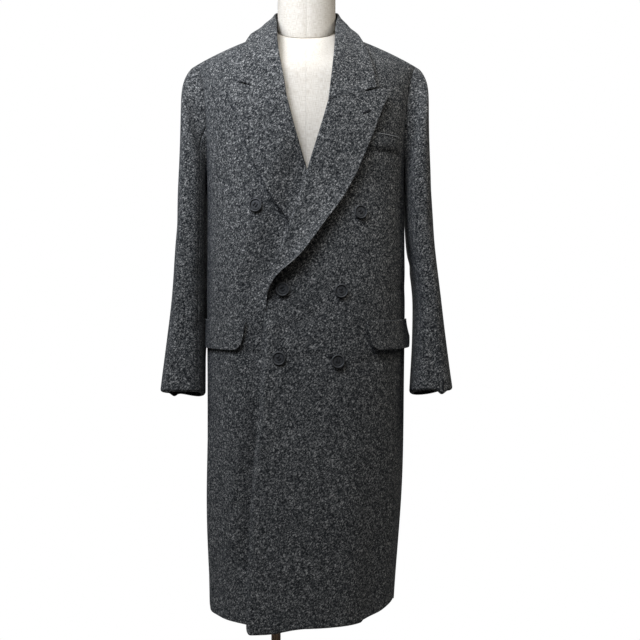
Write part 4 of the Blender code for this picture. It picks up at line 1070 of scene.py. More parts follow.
def make_sleeve(label, side, finishes):
    """Under and top sleeve, two walls that share the armhole and the cuff."""
    grid, turn, hole_normal = sleeve_grid(side)
    along = (np.roll(grid, -1, axis=1) - np.roll(grid, 1, axis=1)) / 2
    down = np.gradient(grid, axis=0)
    normal = unit(np.cross(along, down))
    across = unit(np.cross(down, normal))
    columns = grid.shape[1]
    from_hole = walked(grid, 0)
    from_cuff = from_hole[-1] - from_hole
    top = ease(CAP_TURN, 0, np.abs(wrapped(turn))) * (1 - ease(0, CAP_EDGE, from_hole))
    normal = unit(normal + (hole_normal - normal) * top[..., None])
    push = sleeve_creases(side, turn, grid[..., 2])
    grid[..., 2] -= cuff_drop(side, turn, from_cuff)
    inside = np.maximum(CUFF_ROLL - from_cuff, 0)
    push = push - CUFF_ROLL + np.sqrt(CUFF_ROLL ** 2 - inside ** 2)
    front_seam = YOKE_ROWS - SEAM_STEP
    back_seam = columns - front_seam
    round_the_arm = walked(np.concatenate((grid, grid[:, :1]), axis=1), 1)
    for seam in (front_seam, back_seam):
        push = push + SLEEVE_DIP * seam_dip(round_the_arm[:, :-1] - round_the_arm[:, seam, None])
    grid = grid + normal * (push * ease(0, CAP_EDGE, from_hole))[..., None]
    made = []
    for half, first, last in (("under", front_seam, back_seam), ("top", back_seam, columns + front_seam)):
        pick = np.arange(first, last + 1) % columns
        outer, facing, aside = grid[:, pick].copy(), normal[:, pick], across[:, pick]
        outer[:, 0] += aside[:, 0] * SEAM / 2
        outer[:, -1] -= aside[:, -1] * SEAM / 2
        inner = outer - facing * (WALL + hem_extra(from_cuff[:, pick]))[..., None]
        for layer in (outer, inner):
            layer[..., 0] *= side
        lined = from_cuff[:, pick] > HEM_TURN
        name = "sleeve_" + half + "_" + label + "_cloth"
        made.append(cloth_wall(name, outer, inner, finishes, ("first", "start", "end"), lined))
    return made


# Lapels and collar

def lapel_layers(side, first_row):
    """Outer and inner points of the rolled lapel facing, from its seam on the roll line to its free edge.

    Each row goes half round the roll, and then straight to the free edge on a lift that curls up late.
    """
    row = np.linspace(first_row, len(LAPEL) - 1, LAPEL_ROWS)
    roll_z, free_x, free_z, free_lift = (smooth_row(LAPEL, name, row) for name in LAPEL[0]._fields)
    if side < 0:
        free_lift = np.minimum(free_lift, UNDER_EDGE_LIFT)
    roll_x = edge_x(roll_z)
    width = np.hypot(free_x - roll_x, free_z - roll_z)
    turn = np.linspace(-np.pi / 2, np.pi / 2, LAPEL_ROLL_COLUMNS)
    full_radius = ROLL_END_RADIUS + (ROLL_RADIUS - ROLL_END_RADIUS) * ease(0, ROLL_END_ROW, row)[:, None]
    centre = full_radius - WALL
    share = spread(LAPEL_FACE_COLUMNS + 1)[1:]
    shift = OVER_GORGE if side > 0 else UNDER_GORGE
    level_share = ease(GORGE_LEVEL_FROM, 1, (row - first_row) / (row[-1] - first_row))[:, None]

    def place(distance, lift):
        """Points at a distance from the roll line towards the free edge, moved out by lift."""
        part = distance / width[:, None]
        x = roll_x[:, None] + (free_x - roll_x)[:, None] * part
        z = roll_z[:, None] + (free_z - roll_z)[:, None] * part
        bend = (GORGE_BEND_X - roll_x[-1]) / (free_x[-1] - roll_x[-1])
        straight = roll_z[-1] + (free_z[-1] - roll_z[-1]) * bend
        corner = np.minimum(part / bend, (1 - part) / (1 - bend))
        z = z + (GORGE_BEND_Z - straight) * np.clip(corner, 0, 1) * level_share ** GORGE_LEVEL_POWER
        z = z + shift * ease(GORGE_LOW, GORGE_BEND_Z, z)
        if side < 0:
            x = mirrored(x, z, side)
            lift = lift + under_sink(x, z)
        return on_front(x, z, lift)

    def layer(inset):
        """One side of the facing, this far below its outer side."""
        radius = full_radius - inset
        distance = np.concatenate((-SEAM - radius * np.cos(turn), width[:, None] * share), axis=1)
        top = np.minimum(LAPEL_LIFT, 2 * full_radius - WALL)
        rise = top + (free_lift[:, None] - top) * share ** LAPEL_CURL - inset
        return place(distance, np.concatenate((centre + radius * np.sin(turn), rise), axis=1))

    return layer(0), layer(WALL)


def make_lapel(name, side, first_row, finishes):
    """Lapel, sewn at the roll line and along its top to the collar."""
    outer, inner = lapel_layers(side, first_row)
    return cloth_wall(name, outer, inner, finishes, ("start", "last"))


def both_halves(line, middle):
    """A line of the wearer's left half carried on, past the centre back, by its mirror image."""
    other = line[-2::-1].copy()
    other[:, 0] = 2 * middle[-2::-1] - other[:, 0]
    return np.concatenate((line, other))


def collar_lines(stations):
    """Seam, fold and edge lines, from the wearer's left gorge round to the right one."""
    keys = np.array(COLLAR)
    index = np.arange(len(keys)) / (len(keys) - 1)
    fold, free = (smooth_curve(index, line, stations) for line in (keys[:, :3], keys[:, 3:]))
    gorge = LAPEL[-1].roll_height + GORGE_GAP
    gorge_level = float(level_at(edge_x(gorge), gorge))
    front_level = gorge_level + (2 - gorge_level) * np.clip(stations / COLLAR_SHOULDER, 0, 1)
    front_x = edge_on_level(front_level)
    front = body(angle_at(front_x, front_level), front_level, COLLAR_CLEAR)
    back_x = NECK_X + NECKLINE_HALF * np.clip((1 - stations) / (1 - COLLAR_SHOULDER), 0, 1)
    back_level = 1 + neckline_rise(back_x)
    behind = body(np.pi - angle_at(back_x, back_level), back_level, COLLAR_CLEAR)
    seam = np.where((stations < COLLAR_SHOULDER)[:, None], front, behind)
    middle = middle_x(fold[:, 2])
    fold_middle = middle + FOLD_LEAN * ease(TWIST_LOW, TWIST_HIGH, fold[:, 2])
    fold[:, 0] += fold_middle
    free[:, 0] += middle
    near_gorge = 1 - ease(0, COLLAR_SHIFT_END, stations)
    shift = np.concatenate((OVER_GORGE * near_gorge, UNDER_GORGE * near_gorge[-2::-1]))
    lines = both_halves(seam, middle), both_halves(fold, fold_middle), both_halves(free, middle)
    for line in lines:
        line[:, 2] += shift
    return lines


def to_lapel(end, side, first_row):
    """Way from the collar's end to the lapel's top edge, from past the roll to the start of the notch."""
    top = lapel_layers(side, first_row)[0][-1, LAPEL_ROLL_COLUMNS:]
    out, top_out = side * (end[:, 0] - MID_X), side * (top[:, 0] - MID_X)
    in_notch = ease(NOTCH_START, NOTCH_END, out)
    joined = ease(top_out[0], top_out[0] + GORGE_START, out) * (1 - in_notch)
    y, z = (np.interp(out, top_out, top[:, axis]) for axis in (1, 2))
    meet = np.stack((end[:, 0], y, z), axis=-1)
    return (meet - end) * joined[:, None] + (NOTCH_GAPE * in_notch)[:, None] * np.array((0.0, 0.0, 1.0))


def make_collar(name, finishes):
    """Collar stand and fall in one strip, rolled over at the fold line."""
    stations = np.linspace(0, 1, COLLAR_STATIONS)
    seam, fold, free = collar_lines(stations)
    to_seam, to_free = unit(seam - fold), unit(free - fold)
    tip = -unit(to_seam + to_free)
    across = unit(to_free - to_seam)
    centre = fold - tip * COLLAR_ROLL
    columns = [seam + (centre - across * COLLAR_ROLL - seam) * share for share in COLLAR_STAND]
    for turn in np.linspace(-np.pi / 2, np.pi / 2, COLLAR_ROLL_COLUMNS):
        columns.append(centre + COLLAR_ROLL * (np.cos(turn) * tip + np.sin(turn) * across))
    leave = columns[-1]
    for share in np.linspace(0, 1, COLLAR_FALL_COLUMNS + 1)[1:]:
        columns.append(leave + (free - leave) * share + across * COLLAR_BULGE * np.sin(np.pi * share))
    grid = np.stack(columns, axis=1)
    fall = len(columns) - COLLAR_FALL_COLUMNS
    stand = len(COLLAR_STAND) + COLLAR_ROLL_COLUMNS // 2
    grid[:, fall:] = rest_on_body(grid[:, fall:], WALL + COLLAR_CLEAR)
    inner = grid - grid_normal(grid) * WALL
    grid[:, :stand] = rest_on_body(grid[:, :stand], COLLAR_CLEAR)
    inner[:, :stand] = rest_on_body(inner[:, :stand], COLLAR_CLEAR)
    inner[:, fall:] = rest_on_body(inner[:, fall:], COLLAR_CLEAR)
    outer, inner = (refine(refine(layer, COLLAR_FINE[0], 0), COLLAR_FINE[1], 1) for layer in (grid, inner))
    off = COLLAR_STAND_OFF * ease(COLLAR_FREE, 1, np.linspace(0, 1, outer.shape[1])) ** 2
    move = grid_normal(outer) * off[:, None]
    outer, inner = outer + move, inner + move
    for end, side, first_row in ((0, 1, 0), (-1, -1, UNDER_LAPEL_START)):
        from_end = np.abs(walked(outer, 0) - walked(outer, 0)[end])
        move = to_lapel(outer[end], side, first_row) * (1 - ease(0, GORGE_BLEND, from_end))[..., None]
        outer, inner = outer + move, inner + move
    return cloth_wall(name, outer, inner, finishes, ("start", "first", "last"))


# Trim on the panels

def make_flap(name, side, finishes):
    """Pocket flap with rounded lower corners, standing off at its lower edge."""
    level = float(level_at(FLAP_FRONT_X, FLAP_TOP_Z))
    fine = np.linspace(0, np.pi / 2, FLAP_WALK)
    walk = body_base(side * fine, level)
    length = walked(walk, 0)
    start = np.interp(FLAP_FRONT_X, np.abs(walk[:, 0]), length)
    corner = FLAP_CORNER * (1 - np.cos(np.linspace(0, np.pi / 2, FLAP_CORNER_COLUMNS)))
    straight = np.linspace(FLAP_CORNER, FLAP_WIDTH - FLAP_CORNER, FLAP_COLUMNS)[1:-1]
    across = np.concatenate((corner, straight, FLAP_WIDTH - corner[::-1]))
    near = np.minimum(np.minimum(across, FLAP_WIDTH - across), FLAP_CORNER)
    cut = FLAP_CORNER - np.sqrt(np.maximum(FLAP_CORNER ** 2 - (FLAP_CORNER - near) ** 2, 0))
    down = np.linspace(0, 1, FLAP_ROWS)[:, None]
    drop = down * (FLAP_HEIGHT - cut)
    slant = FLAP_SLANT * drop / FLAP_HEIGHT * (1 - across / FLAP_WIDTH)
    angle = side * np.interp(start + across + slant, length, fine)
    stand_off = FLAP_STAND_OFF if side > 0 else PRESSED_STAND_OFF
    towards_back = FLAP_FRONT_SHARE + (1 - FLAP_FRONT_SHARE) * across / FLAP_WIDTH
    lift = TRIM_CLEAR + (stand_off - TRIM_CLEAR) * down ** FLAP_FLARE * towards_back
    height = level - drop / SKIRT_HEIGHT
    outer, inner = body(angle, height, lift + TRIM_WALL), body(angle, height, lift)
    return cloth_wall(name, outer, inner, finishes, ("first",))


def welt_lift(down):
    """How far the welt's padded face stands off, from its top edge (0) to its foot (1)."""
    return TRIM_CLEAR + WELT_ROLL * np.sin(np.pi * (WELT_ROLL_START + WELT_ROLL_SPAN * down))


def make_welt(name, finishes):
    """Slanted chest pocket welt, padded, with its ends and foot sewn down and its top edge open."""
    across = np.linspace(0, 1, WELT_COLUMNS)
    down = np.linspace(0, 1, WELT_ROWS)[:, None]
    width = WELT_BACK_X - WELT_FRONT_X
    x = WELT_FRONT_X + width * across + WELT_LEAN * down
    z = WELT_TOP_Z - WELT_DROP * across * (1 - WELT_FOOT_LOSS * down) - WELT_HEIGHT * down
    from_seam = np.minimum(np.minimum(across, 1 - across) * width, (1 - down) * WELT_HEIGHT)
    sink = (TRIM_CLEAR + TRIM_WALL + SEAM_DIP) * np.exp(-(from_seam / WELT_REACH) ** 2)
    lift = welt_lift(down) - sink
    outer, inner = on_front(x, z, lift + TRIM_WALL), on_front(x, z, lift)
    return cloth_wall(name, outer, inner, finishes, ("start", "end", "last"))


def make_welt_highlight(name, finish):
    """Pale thread of painted highlight along the welt's open top edge, where that edge catches the light,
    sunk at its ends.
    """
    share = np.linspace(0, 1, WELT_HIGHLIGHT_POINTS)
    x = WELT_HIGHLIGHT[0] + (WELT_HIGHLIGHT[1] - WELT_HIGHLIGHT[0]) * share
    z = WELT_TOP_Z - WELT_DROP * (x - WELT_FRONT_X) / (WELT_BACK_X - WELT_FRONT_X)
    up = WELT_HIGHLIGHT_RADIUS * (WELT_HIGHLIGHT_PROUD - WELT_HIGHLIGHT_DIVE * (2 * share - 1) ** END_POWER)
    path = on_front(x, z, welt_lift(0) + TRIM_WALL + up)
    return tubes(name, [path], WELT_HIGHLIGHT_RADIUS, FORWARD, finish)


def button_frame(button):
    """Middle of a button's underside and its three axes, the last one facing out."""
    lift = BUTTON_CLEAR
    if button.on_under_front:
        lift += float(under_sink(button.x, button.z))
    level = level_at(button.x, button.z)
    facing = body_normal(angle_at(button.x, level), level)
    level_axis = unit(np.array((-facing[1], facing[0], 0.0)))
    return on_front(button.x, button.z, lift), np.stack((level_axis, np.cross(facing, level_axis), facing))


def make_button(name, button, finish):
    """Button turned from its profile, with four holes pressed into the dish."""
    last = len(BUTTON_PROFILE) - 1
    row = np.concatenate((np.linspace(0, last - 1, BUTTON_RIM_ROWS)[:-1],
                          np.linspace(last - 1, last, BUTTON_DISH_ROWS)))
    radius, height = (smooth_row(BUTTON_PROFILE, side, row)[:, None] for side in ("radius", "height"))
    turn = full_turn(BUTTON_SIDES)
    x, y = radius * np.cos(turn), radius * np.sin(turn)
    swing = np.radians(button.turn)
    along = np.abs(x * np.cos(swing) + y * np.sin(swing))
    beside = np.abs(y * np.cos(swing) - x * np.sin(swing))
    from_hole = np.hypot(along - HOLE_PITCH, beside - HOLE_PITCH)
    inside = 1 - ease(HOLE_RADIUS - HOLE_EDGE, HOLE_RADIUS + HOLE_EDGE, from_hole)
    press = HOLE_DEPTH * inside * (row > last - 2)[:, None]
    local = np.stack((x, y, height - press), axis=-1)
    place, axes = button_frame(button)
    return rings_piece(name, [place + local @ axes], finish)


def make_thread(name, button, finish):
    """Two stitches between the holes of a button."""
    swing = np.radians(button.turn)
    share = np.linspace(-1, 1, THREAD_POINTS)
    along = share * HOLE_PITCH
    z = BUTTON_PROFILE[-1].height + THREAD_RISE - THREAD_DIVE * share ** THREAD_POWER
    place, axes = button_frame(button)
    paths = []
    for beside in (-HOLE_PITCH, HOLE_PITCH):
        x = along * np.cos(swing) - beside * np.sin(swing)
        y = along * np.sin(swing) + beside * np.cos(swing)
        paths.append(place + np.stack((x, y, z), axis=-1) @ axes)
    return tubes(name, paths, THREAD_RADIUS, axes[2], finish)


def make_slit(name, face, start, end, finish):
    """Worked buttonhole, or the cuff vent's dark line of painted shade: three dark rows of stitches on the
    face's points nearest to its line.
    """
    share = np.linspace(0, 1, SLIT_POINTS)
    x, z = (start[k] + (end[k] - start[k]) * share for k in (0, 1))
    face = face.reshape(-1, 3)
    nearest = np.argmin((face[:, 0, None] - x) ** 2 + (face[:, 2, None] - z) ** 2, axis=0)
    sunk = SLIT_HALF * (SLIT_DIVE * (2 * share - 1) ** END_POWER - SLIT_PROUD)
    y = np.polyval(np.polyfit(share, face[nearest, 1], 1), share) + sunk
    paths = [np.stack((x, y, z + beside), axis=-1) for beside in (-SLIT_HALF, 0, SLIT_HALF)]
    return tubes(name, paths, SLIT_HALF, FORWARD, finish)


# Dress form and stand

def make_torso(name, finish):
    """Limbless torso: rings from the hip to the neck seam, where they tilt to the front."""
    height = np.linspace(TORSO[0].height, TORSO[-1].height, TORSO_ROWS)[:, None]
    turn = full_turn(FORM_SIDES)
    half, front, back, middle, power = section(TORSO, height)
    aside, ahead = squared(turn, power)
    x = FORM_X + half * aside
    y = middle - np.where(ahead > 0, front, back) * ahead
    tilt = NECK_TILT * ease(NECK_TILT_LOW, TORSO[-1].height, height)
    rings = np.stack((x, y, height + tilt * (y - NECK_Y)), axis=-1)
    return laid_out(rings_piece(name, [rings], finish), rings, 2 * np.pi * TORSO[0].half_width)


def make_neck(name, finish):
    """Round neck on the tilted neck seam, level and gently domed on top."""
    radius = TORSO[-1].half_width
    foot = TORSO[-1].height + SEAM
    share = np.linspace(0, NECK_STRAIGHT, NECK_ROWS)
    dome = np.linspace(0, np.pi / 2, NECK_DOME_ROWS)[1:-1]
    straight, domed = foot + (NECK_TOP - foot) * share, NECK_TOP - NECK_DOME * (1 - np.sin(dome))
    height = np.concatenate((straight, domed))[:, None]
    wide = np.concatenate((radius + 0 * share, radius * np.cos(dome)))[:, None]
    tilt = NECK_TILT * np.concatenate((1 - share, 0 * dome))[:, None]
    turn = full_turn(FORM_SIDES)
    from_seam = np.concatenate((share * (NECK_TOP - foot), NECK_TOP - foot + 0 * dome))[:, None]
    wide = wide + seam_dip(from_seam) + seam_dip(wrapped(turn) * radius) * (wide / radius)
    x, y = FORM_X + wide * np.sin(turn), NECK_Y - wide * np.cos(turn)
    rings = np.stack((x, y, height + tilt * (y - NECK_Y)), axis=-1)
    return laid_out(rings_piece(name, [rings], finish), rings, 2 * np.pi * radius)


def turned_piece(name, profile, x, sides, finish):
    """Solid turned about an upright axis at x, from a profile of (radius, height) points, bottom first."""
    radius, height = np.array(profile).T[:, :, None]
    turn = full_turn(sides)
    rings = np.stack((x + radius * np.cos(turn), radius * np.sin(turn), height + 0 * turn), axis=-1)
    return laid_out(rings_piece(name, [rings], finish, DISC_SHARP), rings, 2 * np.pi * radius.max())


def make_pole(name, finish):
    """Turned wooden pole between the base and the form."""
    heights = np.linspace(BASE_HEIGHT + SEAM, TORSO[0].height - SEAM, POLE_ROWS)
    return turned_piece(name, [(POLE_RADIUS, height) for height in heights], POLE_X, POLE_SIDES, finish)


def make_base(name, finish):
    """Round base plate with a rounded upper edge."""
    under = [(BASE_MIDDLE, 0), (BASE_RADIUS - BASE_FOOT, 0), (BASE_RADIUS, BASE_FOOT)]
    rounding = [(BASE_RADIUS - BASE_ROUND * (1 - np.cos(t)), BASE_HEIGHT - BASE_ROUND * (1 - np.sin(t)))
                for t in np.linspace(0, np.pi / 2, BASE_ROUND_ROWS)]
    inwards = np.linspace(BASE_RADIUS - BASE_ROUND, BASE_MIDDLE, BASE_ROWS)[1:]
    flat = [(radius, BASE_HEIGHT) for radius in inwards]
    return turned_piece(name, under + rounding + flat, 0, DISC_SIDES, finish)


def make_floor(name, finish):
    """Thin round floor under the base."""
    profile = [(FLOOR_MIDDLE, FLOOR_UNDER), (FLOOR_RADIUS, FLOOR_UNDER),
               (FLOOR_RADIUS, FLOOR_TOP), (FLOOR_MIDDLE, FLOOR_TOP)]
    return turned_piece(name, profile, 0, DISC_SIDES, finish)


# Materials

def linear(code):
    """Linear colour of an sRGB hex code."""
    srgb = np.array([int(code[i:i + 2], 16) for i in (1, 3, 5)]) / 255
    value = np.where(srgb <= 0.04045, srgb / 12.92, ((srgb + 0.055) / 1.055) ** 2.4)
    return (*value.tolist(), 1.0)


def add(tree, kind, settings=(), values=(), links=(), stops=()):
    """Node with its settings, its socket values, its incoming links and its colour stops."""
    node = tree.nodes.new(kind)
    for name, value in dict(settings).items():
        setattr(node, name, value)
    for socket, value in dict(values).items():
        node.inputs[socket].default_value = value
    for socket, source in dict(links).items():
        tree.links.new(source, node.inputs[socket])
    for number, (position, colour) in enumerate(stops):
        elements = node.color_ramp.elements
        stop = elements[number] if number < len(elements) else elements.new(position)
        stop.position = position
        stop.color = linear(colour)
    return node


def finish_named(name, shader_values):
    """Material whose Principled shader has these socket values, with its node tree and shader."""
    made = bpy.data.materials.new(name)
    made.use_nodes = True
    shader = made.node_tree.nodes["Principled BSDF"]
    for socket, value in shader_values.items():
        shader.inputs[socket].default_value = value
    return made, made.node_tree, shader


def tweed_finish():
    """Melange wool tweed, woven and brushed: a dark ground with pale and black flecks, and a dry nap."""
    made, tree, shader = finish_named("melange_wool_tweed", {
        "Roughness": 0.95, "IOR": 1.45, "Specular IOR Level": 0.15,
        "Sheen Weight": 0.10, "Sheen Roughness": 0.6, "Sheen Tint": linear("#9aa0a6")})
    place = add(tree, "ShaderNodeTexCoord")
    twill = add(tree, "ShaderNodeMapping", {"vector_type": "TEXTURE"},
                {"Rotation": (0, TWEED_SLANT, 0), "Scale": TWEED_DRAWN}, {"Vector": place.outputs["Object"]})
    noises = []
    for scale, detail, roughness, at in (
            (TWEED_FLECKS, 2.0, 0.70, twill.outputs["Vector"]),
            (TWEED_YARNS, 1.0, 0.6, twill.outputs["Vector"]),
            (TWEED_CLOUDS, 2.0, 0.6, place.outputs["Object"])):
        noises.append(add(tree, "ShaderNodeTexNoise", {"noise_dimensions": "3D"},
                          {"Scale": scale, "Detail": detail, "Roughness": roughness}, {"Vector": at}))
    flecks, yarns, clouds = noises
    mixed = add(tree, "ShaderNodeMix", {"data_type": "FLOAT"}, {"Factor": TWEED_YARN_SHARE},
                {"A": flecks.outputs["Fac"], "B": yarns.outputs["Fac"]})
    shifted = add(tree, "ShaderNodeMath", {"operation": "MULTIPLY_ADD"}, {1: TWEED_CLOUD_SHARE},
                  {0: clouds.outputs["Fac"], 2: mixed.outputs["Result"]})
    ramp = add(tree, "ShaderNodeValToRGB", {}, {}, {"Fac": shifted.outputs["Value"]},
               ((0.435, "#0b0b0c"), (0.52, "#232526"), (0.595, "#444544"),
                (0.67, "#6f6f6c"), (0.77, "#b7b5af")))
    bump = add(tree, "ShaderNodeBump", {}, {"Strength": 0.8, "Distance": 0.0006},
               {"Height": mixed.outputs["Result"]})
    tree.links.new(ramp.outputs["Color"], shader.inputs["Base Color"])
    tree.links.new(bump.outputs["Normal"], shader.inputs["Normal"])
    return made


def satin_finish():
    """Dark satin lining, woven smooth enough to catch a soft gleam."""
    return finish_named("dark_satin_lining", {
        "Base Color": linear("#202328"), "Roughness": 0.42, "IOR": 1.5, "Specular IOR Level": 0.4})[0]


def linen_finish():
    """Pale natural linen, plain woven, with slubs along both thread directions and a sewn middle seam."""
    made, tree, shader = finish_named("natural_linen", {"Roughness": 0.9, "Specular IOR Level": 0.2})
    cut = add(tree, "ShaderNodeUVMap", {"uv_map": "cut"})
    threads = []
    for scale in ((LINEN_SLUBS, LINEN_THREADS, 1.0), (LINEN_THREADS, LINEN_SLUBS, 1.0)):
        place = add(tree, "ShaderNodeMapping", {}, {"Scale": scale}, {"Vector": cut.outputs["UV"]})
        threads.append(add(tree, "ShaderNodeTexNoise", {"noise_dimensions": "2D"},
                           {"Scale": 1.0, "Detail": 1.0}, {"Vector": place.outputs["Vector"]}))
    weave = add(tree, "ShaderNodeMix", {"data_type": "FLOAT"}, {"Factor": 0.5},
                {"A": threads[0].outputs["Fac"], "B": threads[1].outputs["Fac"]})
    ramp = add(tree, "ShaderNodeValToRGB", {}, {}, {"Fac": weave.outputs["Result"]},
               ((0.30, "#cbc1af"), (0.50, "#ddd5c5"), (0.70, "#e9e3d6")))
    place = add(tree, "ShaderNodeTexCoord")
    parts = add(tree, "ShaderNodeSeparateXYZ", {}, {}, {"Vector": place.outputs["Object"]})
    offset = add(tree, "ShaderNodeMath", {"operation": "SUBTRACT"}, {1: FORM_X}, {0: parts.outputs["X"]})
    aside = add(tree, "ShaderNodeMath", {"operation": "ABSOLUTE"}, {}, {0: offset.outputs["Value"]})
    seam = add(tree, "ShaderNodeMapRange", {},
               {"From Min": 0.0006, "From Max": 0.0016, "To Min": 0.14, "To Max": 0.0},
               {"Value": aside.outputs["Value"]})
    sewn = add(tree, "ShaderNodeMix", {"data_type": "RGBA"}, {7: linear("#8d8473")},
               {0: seam.outputs["Result"], 6: ramp.outputs["Color"]})
    bump = add(tree, "ShaderNodeBump", {}, {"Strength": 0.5, "Distance": 0.0003},
               {"Height": weave.outputs["Result"]})
    tree.links.new(sewn.outputs[2], shader.inputs["Base Color"])
    tree.links.new(bump.outputs["Normal"], shader.inputs["Normal"])
    return made


def wood_finish():
    """Stained wood, turned, with the grain along the pole."""
    made, tree, shader = finish_named("stained_wood", {"Roughness": 0.5, "Specular IOR Level": 0.4})
    cut = add(tree, "ShaderNodeUVMap", {"uv_map": "cut"})
    place = add(tree, "ShaderNodeMapping", {}, {"Scale": WOOD_GRAIN}, {"Vector": cut.outputs["UV"]})
    grain = add(tree, "ShaderNodeTexNoise", {"noise_dimensions": "2D"}, {"Scale": 1.0, "Detail": 3.0},
                {"Vector": place.outputs["Vector"]})
    ramp = add(tree, "ShaderNodeValToRGB", {}, {}, {"Fac": grain.outputs["Fac"]},
               ((0.35, "#5a4430"), (0.65, "#8f7355")))
    tree.links.new(ramp.outputs["Color"], shader.inputs["Base Color"])
    return made


def powder_finish():
    """Black powder coat with its fine orange peel."""
    made, tree, shader = finish_named("black_powder_coat", {
        "Base Color": linear("#2f3031"), "Roughness": 0.5, "Specular IOR Level": 0.4})
    at = add(tree, "ShaderNodeTexCoord")
    peel = add(tree, "ShaderNodeTexNoise", {}, {"Scale": POWDER_PEEL, "Detail": 1.0},
               {"Vector": at.outputs["Object"]})
    bump = add(tree, "ShaderNodeBump", {}, {"Strength": 0.3, "Distance": 0.0002},
               {"Height": peel.outputs["Fac"]})
    tree.links.new(bump.outputs["Normal"], shader.inputs["Normal"])
    return made


def plastic_finish():
    """Dark grey button plastic, moulded and faintly clouded, with a satin gleam."""
    made, tree, shader = finish_named("button_plastic", {
        "Roughness": 0.55, "IOR": 1.5, "Specular IOR Level": 0.3})
    at = add(tree, "ShaderNodeTexCoord")
    clouds = add(tree, "ShaderNodeTexNoise", {}, {"Scale": PLASTIC_CLOUDS, "Detail": 2.0},
                 {"Vector": at.outputs["Object"]})
    ramp = add(tree, "ShaderNodeValToRGB", {}, {}, {"Fac": clouds.outputs["Fac"]},
               ((0.35, "#363737"), (0.65, "#484949")))
    tree.links.new(ramp.outputs["Color"], shader.inputs["Base Color"])
    return made


def plain_finish(name, colour, roughness):
    """Matt material of one colour: dull sewing thread, also drawn as the cuff vent's line of painted shade,
    a pale line of painted highlight or a painted floor.
    """
    return finish_named(name, {"Base Color": linear(colour), "Roughness": roughness})[0]


# Build

def take_place(piece, node):
    """The piece rides with the object and stands for the solid of that name."""
    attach(piece, "root")
    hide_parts(node)


cloth = [tweed_finish(), satin_finish()]
linen = linen_finish()
plastic = plastic_finish()
# Dark thread for the buttons and buttonholes, also used as painted shade along the cuff vent.
thread = plain_finish("dark_thread_and_vent_shade", "#101113", 0.9)

panels = {
    "front_left": make_front("front_left_cloth", 1, cloth),
    "front_right": make_front("front_right_cloth", -1, cloth),
    "back": make_back("back_cloth", cloth),
    "lapel_left": make_lapel("lapel_left_cloth", 1, 0, cloth),
    "lapel_right": make_lapel("lapel_right_cloth", -1, UNDER_LAPEL_START, cloth),
    "collar": make_collar("collar_cloth", cloth),
    "flap_left": make_flap("flap_left_cloth", 1, cloth),
    "flap_right": make_flap("flap_right_cloth", -1, cloth),
    "breast_welt": make_welt("breast_welt_cloth", cloth),
}
for label, side in (("left", 1), ("right", -1)):
    under, top = make_sleeve(label, side, cloth)
    panels["sleeve_under_" + label] = under
    panels["sleeve_top_" + label] = top
for node, piece in panels.items():
    take_place(piece, node)

for number, button in enumerate(BUTTONS, start=1):
    node = "button_" + str(number)
    take_place(make_button(node + "_disc", button, plastic), node)
    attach(make_thread(node + "_thread", button, thread), "root")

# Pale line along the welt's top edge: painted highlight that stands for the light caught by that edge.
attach(make_welt_highlight("welt_painted_highlight", plain_finish("pale_painted_highlight", "#8c8d8b", 0.95)), "root")
lapel_face = lapel_layers(1, 0)[0][:, LAPEL_ROLL_COLUMNS:]
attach(make_slit("lapel_buttonhole", lapel_face, *LAPEL_SLIT, thread), "root")
searched_z = np.linspace(*FRONT_SLIT_Z, FRONT_SLIT_GRID)[:, None]
front_face = on_front(np.linspace(*FRONT_SLIT_X, FRONT_SLIT_GRID), searched_z)
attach(make_slit("front_buttonhole", front_face, *FRONT_SLIT, thread), "root")
# The cuff vent is drawn as a dark stitched line: painted shade that stands for the shadow under the vent's
# overlapping edge.
searched_z = np.linspace(*CUFF_SLIT_Z, CUFF_SLIT_GRID[0])[:, None]
sleeve_face = sleeve_ring(1, searched_z, np.radians(np.linspace(*CUFF_SLIT_TURN, CUFF_SLIT_GRID[1])))
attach(make_slit("cuff_vent_painted_shade", sleeve_face, *CUFF_SLIT, thread), "root")

take_place(make_torso("torso_linen", linen), "form_torso")
take_place(make_neck("neck_linen", linen), "form_neck")
take_place(make_pole("pole_wood", wood_finish()), "stand_pole")
take_place(make_base("base_plate", powder_finish()), "stand_base")

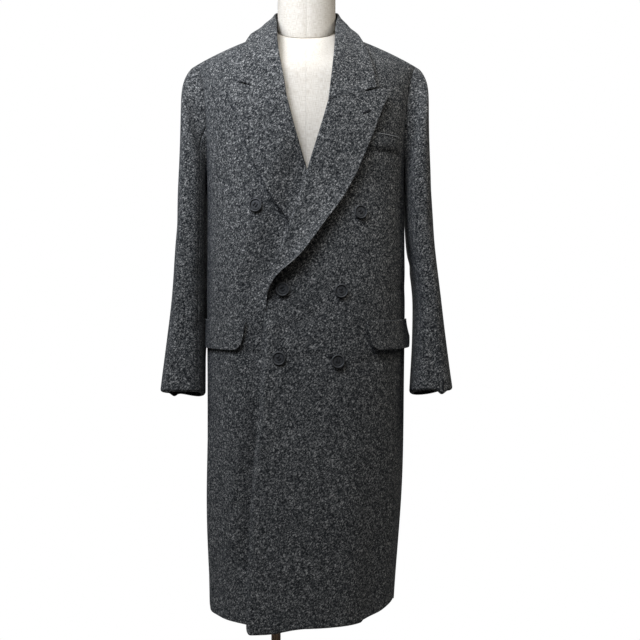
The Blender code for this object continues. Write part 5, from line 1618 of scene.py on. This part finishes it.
# Cut of each cloth piece: width and length of its rectangle, and the area cut from it
CUTS = table_of(
    "node width length area held rests_on",
    ("front_left", 0.46, 1.12, 0.40, "hung", ("form_torso",)),
    ("front_right", 0.46, 1.12, 0.40, "hung", ("form_torso",)),
    ("back", 0.62, 1.10, 0.56, "hung", ("form_torso",)),
    ("sleeve_top_left", 0.25, 0.68, 0.12, "hung", ("front_left", "back")),
    ("sleeve_top_right", 0.25, 0.68, 0.12, "hung", ("front_right", "back")),
    ("sleeve_under_left", 0.19, 0.52, 0.075, "hung", ("front_left", "back")),
    ("sleeve_under_right", 0.19, 0.52, 0.075, "hung", ("front_right", "back")),
    ("lapel_left", 0.14, 0.42, 0.034, "folded", ("front_left",)),
    ("lapel_right", 0.14, 0.36, 0.030, "folded", ("front_right",)),
    ("collar", 0.13, 0.50, 0.055, "folded", ("front_left", "front_right", "back")),
    ("flap_left", 0.155, 0.056, 0.0080, "laid", ("front_left",)),
    ("flap_right", 0.155, 0.056, 0.0080, "laid", ("front_right",)),
    ("breast_welt", 0.090, 0.036, 0.0031, "laid", ("front_left",)),
)


# Floor, light and camera

def lamp(name, place, target, size, power, colour):
    """Square soft light at a place, facing a target."""
    light = bpy.data.lights.new(name, "AREA")
    light.size = size
    light.energy = power
    light.color = linear(colour)[:3]
    thing = bpy.data.objects.new(name, light)
    thing.location = place
    thing.rotation_euler = (Vector(target) - Vector(place)).to_track_quat("-Z", "Y").to_euler()
    bpy.context.scene.collection.objects.link(thing)


scene = bpy.context.scene
scene.view_settings.view_transform = "Standard"
make_floor("studio_floor", plain_finish("pale_floor", "#d2d1cf", 0.8))

# The world is white to the camera and gives the object only a little light
world = bpy.data.worlds.new("white_studio")
scene.world = world
world.use_nodes = True
sky = world.node_tree
sky.nodes.clear()
ray = add(sky, "ShaderNodeLightPath")
seen = add(sky, "ShaderNodeBackground", {}, {"Color": (1, 1, 1, 1), "Strength": 1.0})
given = add(sky, "ShaderNodeBackground", {}, {"Color": linear("#f4f6ff"), "Strength": 0.04})
either = add(sky, "ShaderNodeMixShader", {}, {}, {
    0: ray.outputs["Is Camera Ray"], 1: given.outputs["Background"], 2: seen.outputs["Background"]})
add(sky, "ShaderNodeOutputWorld", {}, {}, {"Surface": either.outputs["Shader"]})
for row in LAMPS:
    lamp(*row)

eye = bpy.data.objects.new("camera", bpy.data.cameras.new("camera"))
eye.data.lens = CAMERA_LENS
eye.data.sensor_width = CAMERA_SENSOR
eye.location = CAMERA_PLACE
eye.rotation_euler = (np.radians(90 - CAMERA_DOWN), 0, 0)
scene.collection.objects.link(eye)
scene.camera = eye
